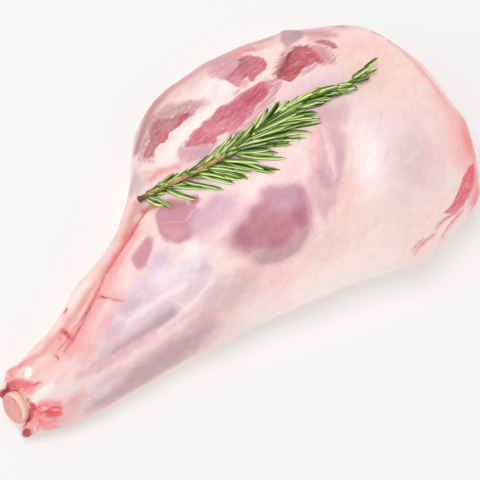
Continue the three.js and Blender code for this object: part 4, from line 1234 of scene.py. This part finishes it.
def stem_place(share, turn):
    middle, ahead = stem_at(share), stem_ahead(share)
    wide = Vector((0, 0, 1)).cross(ahead).normalized()
    radius = STEM_RADII[0] + (STEM_RADII[1] - STEM_RADII[0]) * share
    radius *= 1 + 0.45 * eased(share, 0.025, 0.0)  # flared where it was torn off
    radius *= 0 if share in (0, 1) else 1
    about = wide * math.cos(turn) + ahead.cross(wide) * math.sin(turn)
    bark = 0.16 * noise_at((share * 90, turn, 0), 1.0) + 0.12 * noise_at((share * 14, 3 * turn, 4), 1.0)
    return (middle + about * radius * (1 + bark)) * MM


shape = bmesh.new()
rolled(shape, STEM_STEPS, STEM_SIDES, stem_place)
stem = kept(shape, "rosemary_stem")


def stem_finish():
    made = Finish("rosemary_bark")
    streaks = made.lumps(0.7 * MM, 3, 0.6, (8, 1, 1), -8)
    patches = made.lumps(5 * MM, 2, 0.5)
    colour = made.mix(made.spread(streaks, 0.35, 0.65), linear("#c9995f"), linear("#93683c"))
    colour = made.stain(colour, "#deb27c", patches, 0.45, 0.65, 0.6)
    along = made.along_leg()
    colour = made.stain(colour, "#8b9a52", along, 60 * MM, 110 * MM)
    colour = made.stain(colour, "#6b4a30", along, -29 * MM, -34 * MM)
    made.join(colour, made.shader.inputs["Base Color"])
    made.join(made.math("MULTIPLY", streaks, 1.5), made.wet_grain(0.9 * MM, 0.2 * MM, 0.6, 0.8)[1])
    return made.material


stem.data.materials.append(stem_finish())
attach(stem, "root")

# ---- Rosemary: leaves ----------------------------------------------------------------------
# Narrow leathery leaves stand in bunches along the stem and lean towards its tip. Each is green
# and glossy above with a groove along its middle, rolled at its edges, and pale below. Their colour
# also holds painted light: a painted highlight along one side, painted shade on the other side and
# at the rolled edge, and painted shade at the leaf bases and low in the bunches.

BUNCHES = 27
FIRST_BUNCH = 0.04  # shares of the stem at its first and last leaves
LAST_BUNCH = 0.985
LEAF_STEPS = 8
LEAF_SIDES = 8
LEAF_HALF_WIDTH = 1.5
LEAF_HALF_THICKNESS = 0.42
LEAF_CLEARANCE = 0.7  # least height of a leaf's middle over the meat
LEAF_RISE = 0.7  # how strongly a lifted leaf rises
LEAF_DROOP = 0.22  # how much its tip sinks
LEAF_SEAM = 2.5e-5  # corners of a leaf nearer than this are one
BARE_STRETCHES = [(0.15, 0.2), (0.25, 0.35)]  # shares of the stem where its bark shows

# How the leaves change along the stem: share of it, then for the near side and for the flank
# side, degrees that they stand off it and their length. The waist is before the tuft at the tip.
LEAF_HABIT = [
    (0, 64, 20, 16, 14), (0.05, 54, 17, 18, 14), (0.1, 40, 12, 25, 17), (0.18, 34, 9, 29, 18),
    (0.24, 34, 13, 31, 20), (0.3, 38, 22, 35, 22), (0.4, 38, 25, 38, 25), (0.5, 35, 22, 37, 23),
    (0.56, 31, 20, 33, 22), (0.6, 28, 13, 27, 18), (0.68, 23, 4, 21, 16), (0.78, 18, 4, 17, 14),
    (0.86, 13, 2, 12, 10), (0.94, 20, 3, 13, 11), (1, 26, 6, 12, 9),
]
# How many of the leaves there are along the stem, as share of it and share of the leaves.
LEAF_FULLNESS = [(0, 0.75), (0.14, 0.5), (0.22, 0.5), (0.3, 0.85), (0.38, 1), (0.58, 1), (0.66, 0.75),
                 (0.76, 0.6), (0.84, 0.42), (0.9, 0.2), (1, 0.3)]
# The bunches at each place along the stem: side, lifts of its leaves in degrees, shares of length,
# share of the degrees that they stand off it, and where they start: out to their side, and up.
LEAF_BUNCHES = {
    "near side": (1, (-20, -6, 8, 22, 40), (0.72, 0.9, 1.0, 0.92, 0.8), 1.0, (1.3, 0.4)),
    "flank side": (-1, (-8, 8, 24, 40), (0.85, 1.0, 0.9, 0.75), 1.0, (1.3, 0.4)),
    "over the stem to the near side": (1, (56, 62, 68), (0.8, 0.95, 0.7), 0.6, (-1.3, 2.5)),
    "over the stem to the flank side": (-1, (60, 68), (0.9, 0.7), 0.8, (-1.3, 2.5)),
}


def chance(a, b):
    """A number from 0 to 1 that is always the same for the same two counts."""
    return (math.sin(a * 12.9898 + b * 78.233) * 43758.5453) % 1


def habit(column, share):
    return float(np.interp(share, [row[0] for row in LEAF_HABIT], [row[column] for row in LEAF_HABIT]))


def leaf_route(share, side, lift, stand, size, bend, start):
    """The middle line of a leaf that leaves the stem to a side, 1 for the near one, at a lift."""
    base, ahead = stem_at(share), stem_ahead(share)
    ahead = Vector((ahead.x, ahead.y, 0)).normalized()
    near = ahead.cross(Vector((0, 0, 1)))
    outward = near * side * math.cos(lift) + Vector((0, 0, LEAF_RISE * math.sin(lift)))
    base = base + near * side * start[0] + Vector((0, 0, start[1]))
    first = ahead * math.cos(stand * (1 - bend)) + outward * math.sin(stand * (1 - bend))
    last = ahead * math.cos(stand * (1 + bend)) + outward * math.sin(stand * (1 + bend))
    last.z -= LEAF_DROOP
    route = []
    for step in range(LEAF_STEPS + 1):
        t = step / LEAF_STEPS
        place = base + first * size * (t - t * t / 2) + last * size * t * t / 2
        place.z = max(place.z, height_over_floor(place.x, place.y) + LEAF_CLEARANCE)
        route.append(place)
    return route


def add_leaf(shape, route, roll, tone, painted_light_side, layers):
    along_layer, painted_light_layer, under_layer, painted_shade_layer, tone_layer = layers
    stem_height = route[0].z

    def put(share, turn):
        spot = share * LEAF_STEPS
        i = min(int(spot + 0.5), LEAF_STEPS)
        ahead = (route[min(i + 1, LEAF_STEPS)] - route[max(i - 1, 0)]).normalized()
        wide = ahead.cross(Vector((0, 0, 1))).normalized()
        high = wide.cross(ahead)
        rolled_wide = wide * math.cos(roll) + high * math.sin(roll)
        wide, high = rolled_wide, high * math.cos(roll) - wide * math.sin(roll)
        full = min(1, 0.35 + 5 * share, ((1 - share) / 0.17) ** 0.55) if 0 < share < 1 else 0.02
        across, over = math.cos(turn), math.sin(turn)
        rise = 0.9 * over if over > 0 else 0.55 * over
        rise -= 0.75 * math.exp(-((across / 0.3) ** 2)) * (over > 0)  # groove along the middle
        rise -= 0.5 * across * across  # edges rolled under
        return (route[i] + wide * across * LEAF_HALF_WIDTH * full
                + high * rise * LEAF_HALF_THICKNESS * 1.6 * full ** 0.7) * MM

    made = bmesh.ops.create_grid(shape, x_segments=LEAF_STEPS, y_segments=LEAF_SIDES, size=0.5)["verts"]
    for corner in made:
        share, turn = unrolled(corner)
        corner[along_layer] = share
        # Which side of the leaf takes the painted highlight and which takes the painted shade.
        corner[painted_light_layer] = painted_light_side * math.cos(turn)
        corner[under_layer] = eased(-math.sin(turn), 0.1, 0.6)
        corner[tone_layer] = tone
        corner.co = put(share, turn)
        # Painted shade: how far a leaf's corner lies below the stem, darkening the low parts of a bunch.
        corner[painted_shade_layer] = eased(stem_height - corner.co.z / MM, -1.5, 3)
    bmesh.ops.remove_doubles(shape, verts=made, dist=LEAF_SEAM)


shape = bmesh.new()
layers = [shape.verts.layers.float.new("leaf_" + name) for name in ("along", "side", "under", "low", "tone")]
for bunch in range(BUNCHES):
    for number, (name, (side, lifts, lengths, stands, start)) in enumerate(LEAF_BUNCHES.items()):
        seed = 10 * bunch + number
        step = (bunch + 0.9 * (chance(seed, 1) - 0.5)) / (BUNCHES - 1)
        share = FIRST_BUNCH + (LAST_BUNCH - FIRST_BUNCH) * step
        share = min(max(share, FIRST_BUNCH), LAST_BUNCH)
        if name.startswith("over") and any(low < share + 0.01 < high for low, high in BARE_STRETCHES):
            continue
        bunch_turn = 0.85 + 0.3 * chance(seed, 2)
        bunch_length = 0.88 + 0.24 * chance(seed, 3)
        for leaf, (lift, length) in enumerate(zip(lifts, lengths)):
            leaf_seed = 40 * seed + leaf
            if chance(leaf_seed, 4) > np.interp(share, *zip(*LEAF_FULLNESS)):
                continue
            stand = habit(1 if side > 0 else 2, share) * bunch_turn * stands
            stand = math.radians(stand + (9 if side > 0 else 15) * (chance(leaf_seed, 5) - 0.5))
            size = habit(3 if side > 0 else 4, share) * bunch_length * length
            size *= 0.87 + 0.26 * chance(leaf_seed, 6)
            lift = math.radians(lift + 14 * (chance(leaf_seed, 7) - 0.5))
            bend = 0.55 * (chance(leaf_seed, 8) - 0.3)
            route = leaf_route(share, side, lift, stand, size, bend, start)
            roll = math.radians(80 * (chance(leaf_seed, 9) - 0.5))
            tone = 0.75 * chance(leaf_seed, 10) + 0.4 * eased(share, 0.75, 0.95)
            # Most leaves take their painted highlight on their own side, some on the other.
            painted_light_side = side if chance(leaf_seed, 11) < 0.75 else -side
            add_leaf(shape, route, roll, tone, painted_light_side, layers)
leaves = kept(shape, "rosemary_leaves")


def leaf_finish():
    made = Finish("rosemary_leaf")
    mottle = made.wet_grain(1.2 * MM, 0.12 * MM, 0.34, 0.5)[0]
    side, along = made.field("leaf_side"), made.field("leaf_along")
    colour = made.mix(made.field("leaf_tone"), linear("#527a14"), linear("#98bd42"))
    colour = made.stain(colour, "#85a92f", mottle, 0.4, 0.65, 0.25)
    # Painted highlight: a pale stripe along the lit side of each leaf, fading at its base.
    painted_highlight = made.math("MULTIPLY", made.spread(side, 0.1, 0.45), made.spread(side, 0.98, 0.72))
    painted_highlight = made.math("MULTIPLY", painted_highlight, made.spread(along, 0.05, 0.25))
    painted_highlight = made.math("MULTIPLY", painted_highlight, made.spread(made.field("leaf_tone"), 0.05, 0.5, 0.4, 1.0))
    colour = made.mix(painted_highlight, colour, linear("#f4ffb8"))
    # Painted shade: the other side of each leaf and the far rolled edge of the lit side are darkened.
    colour = made.stain(colour, "#1f3d02", side, 0.0, -0.8, 0.88)
    colour = made.stain(colour, "#2f5206", side, 0.85, 1.0, 0.6)
    # Painted shade at the leaf's base, where the bunch is deep.
    colour = made.stain(colour, "#41600c", along, 0.25, 0.0, 0.6)
    colour = made.stain(colour, "#77692f", along, 0.93, 1.0, 0.6)
    colour = made.mix(made.field("leaf_under"), colour, linear("#a4ba5e"))
    # Painted shade low in the bunches, below the stem.
    colour = made.stain(colour, "#162c00", made.field("leaf_low"), 0.15, 0.9, 0.9)
    made.join(colour, made.shader.inputs["Base Color"])
    made.set(Specular_IOR_Level=0.3, Coat_Weight=0.06, Coat_Roughness=0.25)
    return made.material


leaves.data.materials.append(leaf_finish())
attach(leaves, "root")
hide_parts("rosemary_sprig")

# ---- Floor and light -----------------------------------------------------------------------
# A plain pale floor under the leg, and soft studio light from above its flank side.

FLOOR_SIDE = 6.0
FLOOR_DROP = 0.2 * MM
FLOOR_GLOW = 0.33  # lit from below, as a light table
shape = bmesh.new()
bmesh.ops.create_grid(shape, x_segments=1, y_segments=1, size=FLOOR_SIDE / 2)
bmesh.ops.translate(shape, verts=shape.verts, vec=(0, 0, -FLOOR_DROP))
floor = kept(shape, "floor")
floor_finish = Finish("pale_floor")
floor_finish.set(Base_Color=(0.62, 0.62, 0.62, 1), Roughness=1.0, Specular_IOR_Level=0.0)
floor_finish.set(Emission_Color=(1, 1, 1, 1), Emission_Strength=FLOOR_GLOW)
floor.data.materials.append(floor_finish.material)

HORIZON_LIGHT = 1.6
ZENITH_LIGHT = 0.05
world = bpy.data.worlds.new("studio")
world.use_nodes = True
sky = world.node_tree
direction = sky.nodes.new("ShaderNodeTexCoord")
split = sky.nodes.new("ShaderNodeSeparateXYZ")
sky.links.new(direction.outputs["Generated"], split.inputs[0])
fall = sky.nodes.new("ShaderNodeMapRange")
fall.inputs["To Min"].default_value = HORIZON_LIGHT
fall.inputs["To Max"].default_value = ZENITH_LIGHT
sky.links.new(split.outputs["Z"], fall.inputs["Value"])
sky.links.new(fall.outputs["Result"], sky.nodes["Background"].inputs["Strength"])
sky.nodes["Background"].inputs["Color"].default_value = (1, 1, 1, 1)
bpy.context.scene.world = world

KEY_PLACE = Vector((-0.14, 0.22, 1.7))
KEY_WIDTH = 1.0
KEY_POWER = 13.8
key = bpy.data.lights.new("key_light", "AREA")
key.shape = "DISK"
key.size = KEY_WIDTH
key.energy = KEY_POWER
lamp = bpy.data.objects.new("key_light", key)
lamp.location = KEY_PLACE
lamp.rotation_euler = KEY_PLACE.to_track_quat("Z", "Y").to_euler()
bpy.context.scene.collection.objects.link(lamp)
bpy.context.scene.view_settings.view_transform = "Standard"
